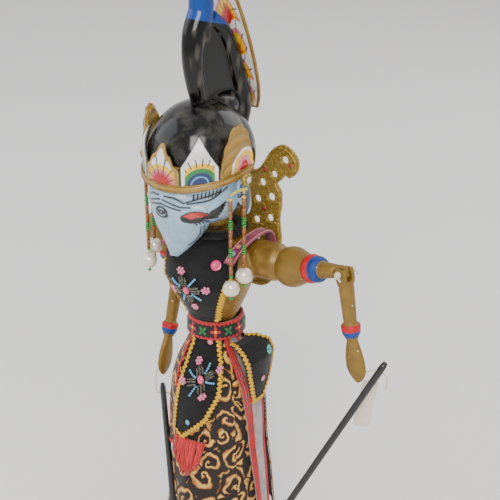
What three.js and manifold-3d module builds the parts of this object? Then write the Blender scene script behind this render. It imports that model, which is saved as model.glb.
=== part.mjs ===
// Wayang golek rod puppet on its display stand, in millimetres.
// +Z is up, the puppet faces -Y, and its own left side is +X.
// The origin is the centre of the stand's underside; the head rod stands on the Z axis.
import * as THREE from 'three';
import { mergeVertices } from 'three/addons/utils/BufferGeometryUtils.js';
import Module from 'manifold-3d';

const wasm = await Module();
wasm.setup();

// ---- driving dimensions -------------------------------------------------------------------
const GAP = 0.35;                      // clearance between pieces that touch
const BASE_R = 45;                     // stand disc
const BASE_H = 18;
const SOCKET_R = 15;                   // turned socket on the disc that takes the rod
const SOCKET_TOP = 40;
const HANDLE_R = 8;                    // thick lower part of the head rod
const ROD_R = 4.8;                     // thin upper part, through the torso
const TORSO_SEAT_Z = 174;              // shoulder of the rod that the torso rests on
const ROD_TOP_Z = 292;
const HEM_Z = 22;
const WAIST_Z = 195;
const NECK_Z = 271;                    // underside of the head's neck

const BALL_R = 14;                     // ball at the top of each upper arm
const SHOULDER = { x: 59, y: 12, z: 249.6 };
const SOCKET_CLEARANCE = 0.6;
const STUB_END_X = 54.5;
const STUB_RIM_R = 9.4;                 // the rim is turned down so that a hanging arm clears it
const ARM_R = 5;                       // thin part of the upper arm
const ELBOW_SLOT = 4.4;
const ELBOW_TONGUE = 3.4;
const HAND_LENGTH = 34;
const LEFT_ELBOW = new THREE.Vector3(106, 2, 263);
const LEFT_HAND_TIP = new THREE.Vector3(118, 4, 185);
const RIGHT_ELBOW = new THREE.Vector3(-60.5, 27, 202);
const RIGHT_HAND_TIP = new THREE.Vector3(-57, 1, 127);

const CONTROL_R = 2.35;                // black control rods
const LEFT_ROD = [new THREE.Vector3(135, 10, 203), new THREE.Vector3(44, -42, 0)];
const RIGHT_ROD = [new THREE.Vector3(-54, -2, 122), new THREE.Vector3(86.6, -134, 0)];

const SKULL = { c: new THREE.Vector3(0, -14, 318), r: new THREE.Vector3(34, 35, 40) };
const HAIR = { c: new THREE.Vector3(0, -12, 325), r: new THREE.Vector3(37.4, 38.4, 36.5) };
const NOSE_TIP = new THREE.Vector3(0, -43, 260);
const PEARL_R = 6;
const STRANDS = [                      // x, y and pearl height of the strands at each ear
  { tag: 'rear', x: 38.5, y: -18.5, z: 249 },
  { tag: 'front', x: 35, y: -28, z: 242 },
];
const STRAND_TOP_Z = 305;
const EAR = { x: 38.6, y: -20, z: 318 };

// skirt's outer surface, as radius at height
const SKIRT = [[15, 198], [15.2, 185], [19.5, 178], [25.4, 165], [29.6, 152], [31.8, 130], [33.2, 100], [41, HEM_Z]];

const puppet = new THREE.Group();

// ---- small tools --------------------------------------------------------------------------
function paint(hex, roughness = 0.6, metalness = 0) {
  return new THREE.MeshStandardMaterial({ color: hex, roughness, metalness });
}

const MATERIALS = {
  gold: () => paint(0x957330, 0.45, 0.3),
  black: () => paint(0x14130f, 0.5),
  gloss: () => paint(0x0d0d0d, 0.2),
  skin: () => paint(0xa9c0cf, 0.35),
  velvet: () => paint(0x17151a, 0.95),
  batik: () => paint(0x6b4b26, 0.85),
  red: () => paint(0xb4302f, 0.8),
  mauve: () => paint(0xa59191, 0.85),
  maroon: () => paint(0x5a1626, 0.9),
  wood: () => paint(0x7a4a2a, 0.5),
  cord: () => paint(0xd8cfae, 0.8),
  bead: () => paint(0x4c7a2c, 0.3),
  pearl: () => paint(0xe9dfc8, 0.25),
};

function add(name, geometry, material) {
  const mesh = new THREE.Mesh(geometry, MATERIALS[material]());
  mesh.name = name;
  puppet.add(mesh);
  return mesh;
}

function solid(geometry) {
  const bare = geometry.clone();
  bare.deleteAttribute('normal');
  if (bare.attributes.uv) bare.deleteAttribute('uv');
  const merged = mergeVertices(bare, 1e-4);
  return new wasm.Manifold(new wasm.Mesh({
    numProp: 3,
    vertProperties: new Float32Array(merged.attributes.position.array),
    triVerts: new Uint32Array(merged.index.array),
  }));
}

function geometryOf(body) {
  const mesh = body.getMesh();
  const geometry = new THREE.BufferGeometry();
  geometry.setAttribute('position', new THREE.BufferAttribute(mesh.vertProperties, 3));
  geometry.setIndex(new THREE.BufferAttribute(mesh.triVerts, 1));
  return geometry;
}

function meshFrom(points, triangles) {
  const geometry = new THREE.BufferGeometry();
  geometry.setAttribute('position', new THREE.Float32BufferAttribute(points.flatMap((p) => [p.x, p.y, p.z]), 3));
  geometry.setIndex(triangles);
  return geometry;
}

// closed solid through rings of equal point count, from the bottom ring to the top one,
// each ring running anticlockwise seen from above
function loft(rings) {
  const count = rings[0].length;
  const points = rings.flat();
  const triangles = [];
  for (let r = 0; r + 1 < rings.length; r += 1) {
    for (let i = 0; i < count; i += 1) {
      const j = (i + 1) % count;
      const [a, b, c, d] = [r * count + i, r * count + j, (r + 1) * count + j, (r + 1) * count + i];
      triangles.push(a, b, c, a, c, d);
    }
  }
  const middle = (ring) => ring.reduce((sum, p) => sum.add(p), new THREE.Vector3()).divideScalar(count);
  const low = points.push(middle(rings[0])) - 1;
  const high = points.push(middle(rings[rings.length - 1])) - 1;
  const top = (rings.length - 1) * count;
  for (let i = 0; i < count; i += 1) {
    const j = (i + 1) % count;
    triangles.push(low, j, i, high, top + i, top + j);
  }
  return meshFrom(points, triangles);
}

function ring(count, place) {
  return Array.from({ length: count }, (_, i) => place((2 * Math.PI * i) / count));
}

function ovalRing(count, x, y, z, rx, ry) {
  return ring(count, (a) => new THREE.Vector3(x + rx * Math.cos(a), y + ry * Math.sin(a), z));
}

// turned piece on the Z axis, from its [radius, z] outline
function turned(outline, sides) {
  const profile = outline.map(([r, z]) => new THREE.Vector2(r, z));
  return new THREE.LatheGeometry(profile, sides).rotateX(Math.PI / 2);
}

// turns a piece made along +Z so that it starts at `from` and points to `to`
function aim(geometry, from, to) {
  const direction = new THREE.Vector3().subVectors(to, from).normalize();
  geometry.applyQuaternion(new THREE.Quaternion().setFromUnitVectors(new THREE.Vector3(0, 0, 1), direction));
  return geometry.translate(from.x, from.y, from.z);
}

function ball(centre, radii, around = 20, down = 10) {
  return new THREE.SphereGeometry(1, around, down).rotateX(Math.PI / 2)
    .scale(radii.x, radii.y, radii.z).translate(centre.x, centre.y, centre.z);
}

function cylinder(from, to, radius, sides = 12) {
  const length = from.distanceTo(to);
  const shape = new THREE.CylinderGeometry(radius, radius, length, sides).rotateX(Math.PI / 2).translate(0, 0, length / 2);
  return aim(shape, from, to);
}

function box(centre, size) {
  return new THREE.BoxGeometry(size.x, size.y, size.z).translate(centre.x, centre.y, centre.z);
}

// round cord or tube through points
function tube(points, radius, sides, steps) {
  const section = new THREE.Shape(Array.from({ length: sides }, (_, i) => {
    const a = (2 * Math.PI * i) / sides;
    return new THREE.Vector2(radius * Math.cos(a), radius * Math.sin(a));
  }));
  const extrudePath = new THREE.CatmullRomCurve3(points);
  return new THREE.ExtrudeGeometry(section, { steps, bevelEnabled: false, extrudePath });
}

// flat plate with its outline and round holes in the XZ plane, centred on y = 0
function plate(outline, holes, thickness) {
  const shape = new THREE.Shape(outline.map(([x, z]) => new THREE.Vector2(x, z)));
  for (const [x, z, r] of holes) {
    const hole = new THREE.Path();
    hole.absellipse(x, z, r, r, 0, 2 * Math.PI, true);
    shape.holes.push(hole);
  }
  const geometry = new THREE.ExtrudeGeometry(shape, { depth: thickness, bevelEnabled: false, curveSegments: 5 });
  return geometry.rotateX(Math.PI / 2).translate(0, thickness / 2, 0);
}

// closed piece of cloth or board: `place(u, v, depth)` gives its outer face at depth 0
function sheet(place, thickness, across, down) {
  const points = [];
  for (const depth of [0, thickness]) {
    for (let j = 0; j <= down; j += 1) {
      for (let i = 0; i <= across; i += 1) points.push(place(i / across, j / down, depth));
    }
  }
  const row = across + 1;
  const layer = row * (down + 1);
  const triangles = [];
  const quad = (a, b, c, d) => triangles.push(a, b, c, a, c, d);
  for (let j = 0; j < down; j += 1) {
    for (let i = 0; i < across; i += 1) {
      const a = j * row + i;
      quad(a, a + row, a + row + 1, a + 1);
      quad(layer + a, layer + a + 1, layer + a + row + 1, layer + a + row);
    }
  }
  for (let i = 0; i < across; i += 1) {
    const b = down * row + i;
    quad(i, i + 1, layer + i + 1, layer + i);
    quad(b, layer + b, layer + b + 1, b + 1);
  }
  for (let j = 0; j < down; j += 1) {
    const a = j * row;
    const b = a + across;
    quad(a, layer + a, layer + a + row, a + row);
    quad(b, b + row, layer + b + row, layer + b);
  }
  return meshFrom(points, triangles);
}

function along(values, t) {
  const s = THREE.MathUtils.clamp(t, 0, 1) * (values.length - 1);
  const i = Math.min(Math.floor(s), values.length - 2);
  return values[i] + (values[i + 1] - values[i]) * (s - i);
}

// angle is measured from the front (-Y) towards the puppet's left (+X), in degrees
function around(radius, degrees, z) {
  const a = THREE.MathUtils.degToRad(degrees);
  return new THREE.Vector3(radius * Math.sin(a), -radius * Math.cos(a), z);
}

function skirtRadius(z) {
  for (let i = 0; i + 1 < SKIRT.length; i += 1) {
    const [[r0, z0], [r1, z1]] = [SKIRT[i], SKIRT[i + 1]];
    if (z <= z0 && z >= z1) return r0 + ((r1 - r0) * (z0 - z)) / (z0 - z1);
  }
  return z > SKIRT[0][1] ? SKIRT[0][0] : SKIRT[SKIRT.length - 1][0];
}

// cloth that hangs over the skirt between two edges, given as angles from its top to its foot
function hanging(edges, zTop, zLow, stand, thickness, across = 6, down = 9) {
  return sheet((u, v, depth) => {
    const low = along(zLow, u);
    const z = zTop + (low - zTop) * v;
    const angle = along(edges[0], v) * (1 - u) + along(edges[1], v) * u;
    return around(skirtRadius(z) + along(stand, v) - depth, angle, z);
  }, thickness, across, down);
}

// ---- stand and head rod -------------------------------------------------------------------
function makeStand() {
  add('stand_base', turned([[0, 0], [BASE_R, 0], [BASE_R, BASE_H - 5], [BASE_R - 5, BASE_H], [0, BASE_H]], 40), 'wood');
  const floor = BASE_H + GAP;
  add('stand_socket', turned([
    [HANDLE_R + 0.5, floor], [SOCKET_R, floor], [SOCKET_R, SOCKET_TOP - 3], [SOCKET_R - 3, SOCKET_TOP],
    [HANDLE_R + 0.5, SOCKET_TOP], [HANDLE_R + 0.5, floor],
  ], 24), 'wood');
}

function makeHeadRod() {
  const foot = BASE_H + GAP;
  add('head_rod', turned([
    [0, foot], [HANDLE_R - 1, foot], [HANDLE_R, foot + 2], [HANDLE_R, TORSO_SEAT_Z], [ROD_R, TORSO_SEAT_Z],
    [ROD_R, ROD_TOP_Z - 2], [ROD_R - 2, ROD_TOP_Z], [0, ROD_TOP_Z],
  ], 20), 'wood');
}

// ---- torso --------------------------------------------------------------------------------
const TORSO = [                        // z, centre y, half-width, half-depth
  [TORSO_SEAT_Z + GAP, 0, 12, 11.6], [WAIST_Z + 3, 0, 13, 12.6], [206, -1, 18.5, 15],
  [220, -3, 26, 20], [234, -4, 32.5, 24], [247, -1, 35, 23], [257, 3, 30, 19], [264, 4, 18, 14], [268, 2, 11, 11],
];

function torsoAt(z) {
  for (let i = 0; i + 1 < TORSO.length; i += 1) {
    if (z <= TORSO[i + 1][0]) {
      const t = (z - TORSO[i][0]) / (TORSO[i + 1][0] - TORSO[i][0]);
      return TORSO[i].map((value, k) => value + (TORSO[i + 1][k] - value) * t);
    }
  }
  return TORSO[TORSO.length - 1];
}

function shoulderCentre(side) {
  return new THREE.Vector3(side * SHOULDER.x, SHOULDER.y, SHOULDER.z);
}

function makeTorso() {
  let body = solid(loft(TORSO.map(([z, y, rx, ry]) => ovalRing(20, 0, y, z, rx, ry))));
  for (const side of [1, -1]) {
    const inner = new THREE.Vector3(side * 14, SHOULDER.y - 3, SHOULDER.z - 1);
    const outer = new THREE.Vector3(side * STUB_END_X, SHOULDER.y, SHOULDER.z);
    const dish = BALL_R + SOCKET_CLEARANCE;
    const length = inner.distanceTo(outer);
    const stub = turned([[0, 0], [BALL_R, 0], [BALL_R, length - 7.5], [STUB_RIM_R, length], [0, length]], 18);
    body = body.add(solid(aim(stub, inner, outer)));
    body = body.subtract(solid(ball(shoulderCentre(side), new THREE.Vector3(dish, dish, dish), 18, 12)));
  }
  const bore = ROD_R + 0.5;
  body = body.subtract(solid(cylinder(new THREE.Vector3(0, 0, 150), new THREE.Vector3(0, 0, 290), bore, 12)));
  add('torso', geometryOf(body), 'gold');
}

// black cloth over the chest, held between the neck and the belt
function makeBodice() {
  const reach = 62;
  const chest = sheet((u, v, depth) => {
    const z = 256 - 52 * v;
    const [, y, rx, ry] = torsoAt(z);
    const a = THREE.MathUtils.degToRad(-reach + 2 * reach * u);
    const stand = 3.4 - depth;
    return new THREE.Vector3((rx + stand) * Math.sin(a), y - (ry + stand) * Math.cos(a), z);
  }, 1.4, 10, 8);
  add('bodice', chest, 'velvet');
}

function makeCollar() {
  const outline = [[12.6, 270.4], [12.6, 269.4], [16, 268], [21, 265.6], [23, 266.4], [21, 269], [16, 271], [12.6, 270.4]];
  add('collar', turned(outline, 24).translate(0, 1.5, 0), 'black');
}

function makeBelt() {
  const [inner, outer, low, high] = [19, 21.2, WAIST_Z - 5, WAIST_Z + 7];
  const outline = [[inner, low], [outer, low], [outer, high], [inner, high], [inner, low]];
  add('belt', turned(outline, 32), 'black');
}

// ---- clothes below the belt ---------------------------------------------------------------
function makeSkirt() {
  const wall = 1.4;
  const inside = SKIRT.map(([r, z]) => [r - wall, z]).reverse();
  add('skirt', turned([...SKIRT, ...inside, SKIRT[0]].reverse(), 30), 'batik');
}

function makeCostume() {
  const left = [[57, 73, 79, 84, 87], [97, 112, 112, 108, 106]];
  add('sash_left', hanging(left, WAIST_Z, [26, 26], [1.5, 2.6, 2.6, 2.4], 1), 'mauve');
  const right = [[-84, -80, -64, -58], [-32, -24, -12, -8]];
  add('sash_right', hanging(right, WAIST_Z, [96, 98], [1.5, 2.6, 2.4, 2], 1), 'batik');
  const front = [[-18, -12, -16, -20], [46, 49, 44, 26]];
  add('front_apron', hanging(front, WAIST_Z, [118, 112, 122, 132], [3, 3.9, 4, 4], 1), 'velvet');
  const fringe = hanging([[-18, -18], [24, 22]], 111, [92, 80, 84, 98], [4.2, 3.6], 1.2, 8, 3);
  add('apron_fringe', fringe, 'red');
  const back = [[146, 138, 126, 122], [214, 222, 234, 238]];
  add('back_flap', hanging(back, WAIST_Z, [28, 28], [1.5, 2.6, 2.6, 2.6], 1), 'maroon');
  makeSideFlap();
}

// stiff hip flap that springs out over the left hip
function makeSideFlap() {
  const radius = [22, 30, 38.5, 41, 40, 38.4, 37];
  const height = [185.6, 186.5, 183.5, 176, 165, 152, 141];
  const flap = sheet((u, v, depth) => {
    const angle = along([64, 66, 72, 84], v) * (1 - u) + along([112, 120, 124, 100], v) * u;
    return around(along(radius, v) - depth, angle, along(height, v) - depth * 0.4);
  }, 1.4, 6, 8);
  add('side_flap', flap, 'velvet');
}

// ---- head ---------------------------------------------------------------------------------
function grown(part, by) {
  return ball(part.c, part.r.clone().addScalar(by), 24, 14);
}

function makeHead() {
  let head = solid(grown(SKULL, 0));
  const muzzle = [[NOSE_TIP.z, NOSE_TIP.y, 3, 3], [268, -36, 10, 10], [282, -30, 20, 18], [300, -26, 27, 22]];
  head = head.add(solid(loft(muzzle.map(([z, y, rx, ry]) => ovalRing(20, 0, y, z, rx, ry)))));
  const neckTop = new THREE.Vector3(0, -2, 296);
  head = head.add(solid(cylinder(new THREE.Vector3(0, 0, NECK_Z), neckTop, 9.5, 20)));
  const bore = ROD_R + GAP;
  const boreTop = new THREE.Vector3(0, 0, ROD_TOP_Z + 1);
  head = head.subtract(solid(cylinder(new THREE.Vector3(0, 0, NECK_Z - 5), boreTop, bore, 16)));
  add('head', geometryOf(head), 'skin');
}

// plane that parts hair from face: low behind, high at the brow
function hairCutter(drop) {
  const slab = box(new THREE.Vector3(0, 0, -40), new THREE.Vector3(120, 160, 80));
  return slab.rotateX(-0.36).translate(0, -14, 312 + drop);
}

function makeHair() {
  const cap = solid(grown(HAIR, 0)).subtract(solid(grown(SKULL, GAP))).subtract(solid(hairCutter(0)));
  add('hair_cap', geometryOf(cap), 'gloss');

  const front = [[-12, 358], [-17, 372], [-19, 388], [-17, 403], [-11, 414]].map(([y, z]) => new THREE.Vector3(0, y, z));
  let loop = solid(tube(front, 7, 10, 7));
  const web = [[-12, 352], [20, 346], [26, 359], [21, 376], [10, 391], [-2, 402], [-12, 410], [-17, 400], [-17, 372]];
  const webPlate = plate(web, [], 10).rotateZ(Math.PI / 2);
  loop = loop.add(solid(webPlate));
  const rim = [[23, 344], [26, 358], [21, 376], [10, 391], [-2, 402], [-10, 412]].map(([y, z]) => new THREE.Vector3(0, y, z));
  loop = loop.add(solid(tube(rim, 6, 8, 8)));
  const knot = [[-13, 400], [-10, 418], [-10, 434], [-13, 446]].map(([y, z]) => new THREE.Vector3(0, y, z));
  loop = loop.add(solid(tube(knot, 8, 10, 6)));
  loop = loop.add(solid(ball(knot[3], new THREE.Vector3(8.2, 8.2, 8.2), 14, 8)));
  loop = loop.subtract(solid(grown(HAIR, GAP)));
  add('hair_loop', geometryOf(loop), 'gloss');
}

// leaf-shaped board behind the hair loop
function makeCrest() {
  const half = [[5, 0], [9, 10], [12, 26], [13, 48], [12, 72], [8, 98], [3, 114], [0, 121]];
  const outline = [...half, ...half.slice(0, -1).reverse().map(([x, z]) => [-x, z])];
  const lean = Math.atan(0.38);
  add('crest_plate', plate(outline, [], 2).rotateX(lean).translate(0, 41.6, 345), 'gold');
}

function makeTiara() {
  const reach = 98;
  const band = sheet((u, v, depth) => {
    const degrees = -reach + 2 * reach * u;
    const a = THREE.MathUtils.degToRad(degrees);
    const low = 310 + 9 * (1 - Math.cos(a));
    const peaks = along([348, 352, 330, 344, 326, 338, 326, 344, 330, 352, 348], u);
    const z = peaks + (low - peaks) * v;
    const stand = 3.2 - depth;
    return new THREE.Vector3((HAIR.r.x + stand) * Math.sin(a), HAIR.c.y - (HAIR.r.y + stand) * Math.cos(a), z);
  }, 1.8, 20, 3);
  add('tiara', band, 'gold');
}

// ---- ear jewels and bead hangings -----------------------------------------------------------
function makeEarPieces(side, label) {
  const x = side * (EAR.x + 3.4);
  const inner = new THREE.Vector3(x, EAR.y, EAR.z);
  const outer = new THREE.Vector3(x + side * 4, EAR.y, EAR.z);
  add(`ear_jewel_${label}`, cylinder(inner, outer, 4.2, 12), 'bead');

  const knot = new THREE.Vector3(x + side * 2, EAR.y, EAR.z - 6.4);
  const tops = STRANDS.map((s) => new THREE.Vector3(side * (s.x + 2), s.y, STRAND_TOP_Z + 2.6));
  const thread = [tops[0], new THREE.Vector3(side * 41.5, -20, 311), knot, new THREE.Vector3(side * 40, -24.5, 310.5), tops[1]];
  add(`ear_thread_${label}`, tube(thread, 0.9, 8, 8), 'cord');

  for (const s of STRANDS) {
    const sx = side * (s.x + 2);
    const top = new THREE.Vector3(sx, s.y, STRAND_TOP_Z);
    const low = new THREE.Vector3(sx, s.y, s.z + PEARL_R + GAP);
    add(`bead_strand_${label}_${s.tag}`, cylinder(low, top, 1.3, 8), 'bead');
    const drop = turned([
      [0, -PEARL_R - 3], [1.2, -PEARL_R - 3], [1.4, -PEARL_R - 0.4],
      ...Array.from({ length: 5 }, (_, i) => {
        const a = THREE.MathUtils.degToRad(-70 + 35 * i);
        return [PEARL_R * Math.cos(a), PEARL_R * Math.sin(a)];
      }), [0, PEARL_R],
    ], 10);
    add(`pearl_${label}_${s.tag}`, drop.translate(sx, s.y, s.z), 'pearl');
  }
}

// ---- back plate and its straps --------------------------------------------------------------
function makePraba() {
  const wing = [[0, 214], [18, 216], [28, 226], [32, 240], [33, 256], [31.5, 270], [33, 281], [32.5, 291], [29, 297],
    [33, 301], [38, 306], [42, 305], [46, 309], [46.5, 316], [42, 322], [34, 325], [26, 321], [20, 312], [13, 304],
    [0, 300]];
  const outline = [...wing, ...wing.slice(1, -1).reverse().map(([x, z]) => [-x, z])];
  const holes = [[36, 315, 3], [27, 303, 2.8], [17, 295, 3], [25, 286, 3.2], [13, 282, 3], [24, 270, 3],
    [12, 266, 3], [25, 256, 2.8], [13, 250, 3], [15, 236, 3]];
  const mirrored = holes.map(([x, z, r]) => [-x, z, r]);
  add('praba', plate(outline, [...holes, ...mirrored], 2).translate(0, 33, 0), 'gold');
}

// strap that comes over each shoulder from the back plate to the bodice
function makeStrap(side, label) {
  const path = [[27, 29.8, 246], [27.5, 29, 256], [28.5, 22, 265.2], [29, 8, 266.6], [28.5, -7, 262.6], [28, -19.5, 254]];
  const width = 4;
  const strap = sheet((u, v, depth) => {
    const at = (k) => along(path.map((p) => p[k]), v);
    const [y, z] = [at(1), at(2)];
    const out = new THREE.Vector2(y - 4, z - 240).normalize();
    const x = side * at(0) + width * (2 * u - 1);
    return new THREE.Vector3(x, y - out.x * depth, z - out.y * depth);
  }, 1.2, 2, 12);
  add(`praba_strap_${label}`, strap, 'red');
}

// ---- arms -----------------------------------------------------------------------------------
function elbowAxis(shoulder, elbow, hand) {
  const upper = new THREE.Vector3().subVectors(elbow, shoulder).normalize();
  const fore = new THREE.Vector3().subVectors(hand, elbow).normalize();
  return new THREE.Vector3().crossVectors(upper, fore).normalize();
}

// frame at `origin` with local Z along `toward` and local X along the elbow's axis
function frameAt(origin, toward, axis) {
  const z = new THREE.Vector3().subVectors(toward, origin).normalize();
  const y = new THREE.Vector3().crossVectors(z, axis).normalize();
  return new THREE.Matrix4().makeBasis(axis, y, z).setPosition(origin);
}

function makeArm(side, label, elbow, hand) {
  const shoulder = shoulderCentre(side);
  const axis = elbowAxis(shoulder, elbow, hand);
  const upperFrame = frameAt(shoulder, elbow, axis);
  const foreFrame = frameAt(elbow, hand, axis);
  const reach = shoulder.distanceTo(elbow);

  const profile = [[0, -BALL_R]];
  for (let a = -72; a <= 54; a += 18) {
    const t = THREE.MathUtils.degToRad(a);
    profile.push([BALL_R * Math.cos(t), BALL_R * Math.sin(t)]);
  }
  const [bandLow, bandHigh, bandR] = [13.6, 25, 8.2];
  profile.push([7.3, bandLow], [bandR, bandLow + 0.4], [bandR, bandHigh], [ARM_R, bandHigh + 1]);
  profile.push([ARM_R, reach - 8.5], [0, reach - 8.5]);
  let upper = solid(turned(profile, 16));
  const tongue = new THREE.CylinderGeometry(ARM_R, ARM_R, ELBOW_TONGUE, 12).rotateZ(Math.PI / 2).translate(0, 0, reach);
  upper = upper.add(solid(box(new THREE.Vector3(0, 0, reach - 5), new THREE.Vector3(ELBOW_TONGUE, 7, 10))));
  upper = upper.add(solid(tongue));
  const cordHole = new THREE.CylinderGeometry(1.6, 1.6, 20, 8).rotateZ(Math.PI / 2);
  upper = upper.subtract(solid(cordHole.clone().translate(0, 0, reach)));
  const knotBore = new THREE.CylinderGeometry(3.4, 3.4, BALL_R + 6, 10).rotateX(Math.PI / 2).translate(0, 0, -BALL_R / 2);
  upper = upper.subtract(solid(knotBore));
  add(`upper_arm_${label}`, geometryOf(upper).applyMatrix4(upperFrame), 'gold');

  add(`shoulder_cord_${label}`, ball(shoulder, new THREE.Vector3(2.9, 2.9, 2.9), 12, 8), 'cord');

  const cord = turned([[0, -7.2], [2.4, -7.2], [2.4, -5.8], [1.2, -5.8], [1.2, 5.8], [2.4, 5.8], [2.4, 7.2], [0, 7.2]], 8);
  add(`elbow_cord_${label}`, cord.rotateY(Math.PI / 2).applyMatrix4(foreFrame), 'cord');

  const length = elbow.distanceTo(hand);
  const wrist = length - HAND_LENGTH;
  let fore = solid(turned([
    [0, -5.2], [4, -4], [5.4, 0], [5.2, 10], [4.6, wrist - 9], [6.2, wrist - 8], [6.2, wrist - 1], [4.2, wrist],
    [4.2, wrist + 4], [0, wrist + 4],
  ], 14));
  fore = fore.intersect(solid(box(new THREE.Vector3(0, 0, 20), new THREE.Vector3(10.8, 14, 80))));
  const palm = [[0, 3.6, 2.6], [8, 4.4, 2.8], [18, 8, 3.2], [27, 7.4, 3], [HAND_LENGTH, 3.4, 1.8]];
  fore = fore.add(solid(loft(palm.map(([z, rx, ry]) => ovalRing(10, 0, 0, wrist + z - (z ? 0 : 1), rx, ry)))));
  fore = fore.subtract(solid(box(new THREE.Vector3(0, 0, -6), new THREE.Vector3(ELBOW_SLOT, 16, 26))));
  fore = fore.subtract(solid(cordHole));
  const stringHole = new THREE.CylinderGeometry(1, 1, 20, 8).translate(0, 0, length - 10);
  fore = fore.subtract(solid(stringHole));
  add(`forearm_${label}`, geometryOf(fore).applyMatrix4(foreFrame), 'gold');
}

// ---- control rods, their strings and the tag --------------------------------------------------
const ROD_HOLE = 8;                    // string hole below the top of a control rod
const LEFT_HOLE_DIRECTION = new THREE.Vector3(0.68, 0.575, -0.452);
const RIGHT_HOLE_DIRECTION = new THREE.Vector3(0.714, 0.696, 0.07);

function makeControlRod(label, [top, foot], holeDirection) {
  const length = top.distanceTo(foot);
  const along = new THREE.Vector3().subVectors(top, foot).normalize();
  const footR = CONTROL_R - 0.6;
  const lift = (footR * Math.sqrt(1 - along.z * along.z)) / along.z;   // keeps the slanted foot on the table
  const bare = turned([
    [0, lift], [footR, lift], [CONTROL_R, lift + 2], [CONTROL_R, length - 2], [footR, length], [0, length],
  ], 10);
  const centre = top.clone().addScaledVector(along, -ROD_HOLE);
  const ends = [-6, 6].map((reach) => centre.clone().addScaledVector(holeDirection, reach));
  const rod = solid(aim(bare, foot, top)).subtract(solid(cylinder(ends[0], ends[1], 0.9, 8)));
  add(`control_rod_${label}`, geometryOf(rod), 'gloss');
}

// each string runs from the hole in the hand through the hole in the rod to a hanging tail
const LEFT_STRING = [[117.4, 3.5, 195], [119.8, 3, 195.3], [122.8, 2.8, 195], [126.4, 4.4, 196.2], [129.6, 6.4, 197.3],
  [131.8, 8.2, 195.9], [134, 10.1, 194.4], [135.6, 11.6, 191.6], [136, 12, 187.6], [135.4, 12, 183.4]];
const RIGHT_STRING = [[-57.4, 3.6, 136.7], [-57.1, 0.6, 137.6], [-57, -3.2, 135.6], [-56, -7.2, 129], [-53.6, -9.6, 121],
  [-51.4, -8.8, 117.8], [-49.1, -6.6, 117.7], [-46.8, -4.4, 117.6], [-45.2, -3, 115.2], [-44.8, -2.8, 110]];
const TAG = new THREE.Vector3(11, 0.8, 36);

function makeStrings() {
  for (const [label, route] of [['left', LEFT_STRING], ['right', RIGHT_STRING]]) {
    add(`hand_string_${label}`, tube(route.map((p) => new THREE.Vector3(...p)), 0.5, 8, 22), 'cord');
  }
  const tag = box(new THREE.Vector3(0, 0, 0), TAG).rotateY(0.15).rotateZ(0.66);
  add('paper_tag', tag.translate(118.5, 16, 162.5), 'mauve');
}

makeStand();
makeHeadRod();
makeTorso();
makeBodice();
makeCollar();
makeBelt();
makeSkirt();
makeCostume();
makeHead();
makeHair();
makeCrest();
makeTiara();
makeEarPieces(1, 'left');
makeEarPieces(-1, 'right');
makePraba();
makeStrap(1, 'left');
makeStrap(-1, 'right');
makeArm(1, 'left', LEFT_ELBOW, LEFT_HAND_TIP);
makeArm(-1, 'right', RIGHT_ELBOW, RIGHT_HAND_TIP);
makeControlRod('left', LEFT_ROD, LEFT_HOLE_DIRECTION);
makeControlRod('right', RIGHT_ROD, RIGHT_HOLE_DIRECTION);
makeStrings();

export default puppet;
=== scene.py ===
"""Wayang golek rod puppet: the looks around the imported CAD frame. Lengths in this file are millimetres."""
import math

import bpy
import numpy as np
from mathutils import Matrix, Vector


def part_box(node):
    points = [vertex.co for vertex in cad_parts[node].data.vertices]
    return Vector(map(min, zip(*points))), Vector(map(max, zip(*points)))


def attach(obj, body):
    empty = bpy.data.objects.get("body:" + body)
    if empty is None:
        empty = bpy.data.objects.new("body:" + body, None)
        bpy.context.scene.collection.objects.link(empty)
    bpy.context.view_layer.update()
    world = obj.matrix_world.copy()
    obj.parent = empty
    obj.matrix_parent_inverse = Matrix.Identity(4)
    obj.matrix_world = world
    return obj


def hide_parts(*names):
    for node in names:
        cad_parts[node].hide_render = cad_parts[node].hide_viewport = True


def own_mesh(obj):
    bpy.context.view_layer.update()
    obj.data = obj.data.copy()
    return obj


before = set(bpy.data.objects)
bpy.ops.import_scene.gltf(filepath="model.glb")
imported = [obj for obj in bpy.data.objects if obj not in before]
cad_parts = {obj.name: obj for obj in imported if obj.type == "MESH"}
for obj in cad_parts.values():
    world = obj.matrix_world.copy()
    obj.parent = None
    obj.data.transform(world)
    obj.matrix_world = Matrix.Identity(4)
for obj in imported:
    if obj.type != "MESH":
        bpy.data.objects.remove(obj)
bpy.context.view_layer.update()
MM = 0.001
RNG = np.random.default_rng(7)

# ---- the frame's driving sizes, repeated from the part's source -------------------------------
HEM_Z = 22
WAIST_Z = 195
BALL_R = 14
SHOULDER = Vector((59, 12, 249.6))
STUB_END_X = 54.5
ELBOW = {"left": Vector((106, 2, 263)), "right": Vector((-60.5, 27, 202))}
HAND_TIP = {"left": Vector((118, 4, 185)), "right": Vector((-57, 1, 127))}
HAND_LENGTH = 34
ROD = {"left": (Vector((135, 10, 203)), Vector((44, -42, 0))),
       "right": (Vector((-54, -2, 122)), Vector((86.6, -134, 0)))}
CONTROL_R = 2.35
STRING = {
    "left": [(117.4, 3.5, 195), (119.8, 3, 195.3), (122.8, 2.8, 195), (126.4, 4.4, 196.2), (129.6, 6.4, 197.3),
             (131.8, 8.2, 195.9), (134, 10.1, 194.4), (135.6, 11.6, 191.6), (136, 12, 187.6),
             (135.4, 12, 183.4)],
    "right": [(-57.4, 3.6, 136.7), (-57.1, 0.6, 137.6), (-57, -3.2, 135.6), (-56, -7.2, 129), (-53.6, -9.6, 121),
              (-51.4, -8.8, 117.8), (-49.1, -6.6, 117.7), (-46.8, -4.4, 117.6), (-45.2, -3, 115.2),
              (-44.8, -2.8, 110)],
}
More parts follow.
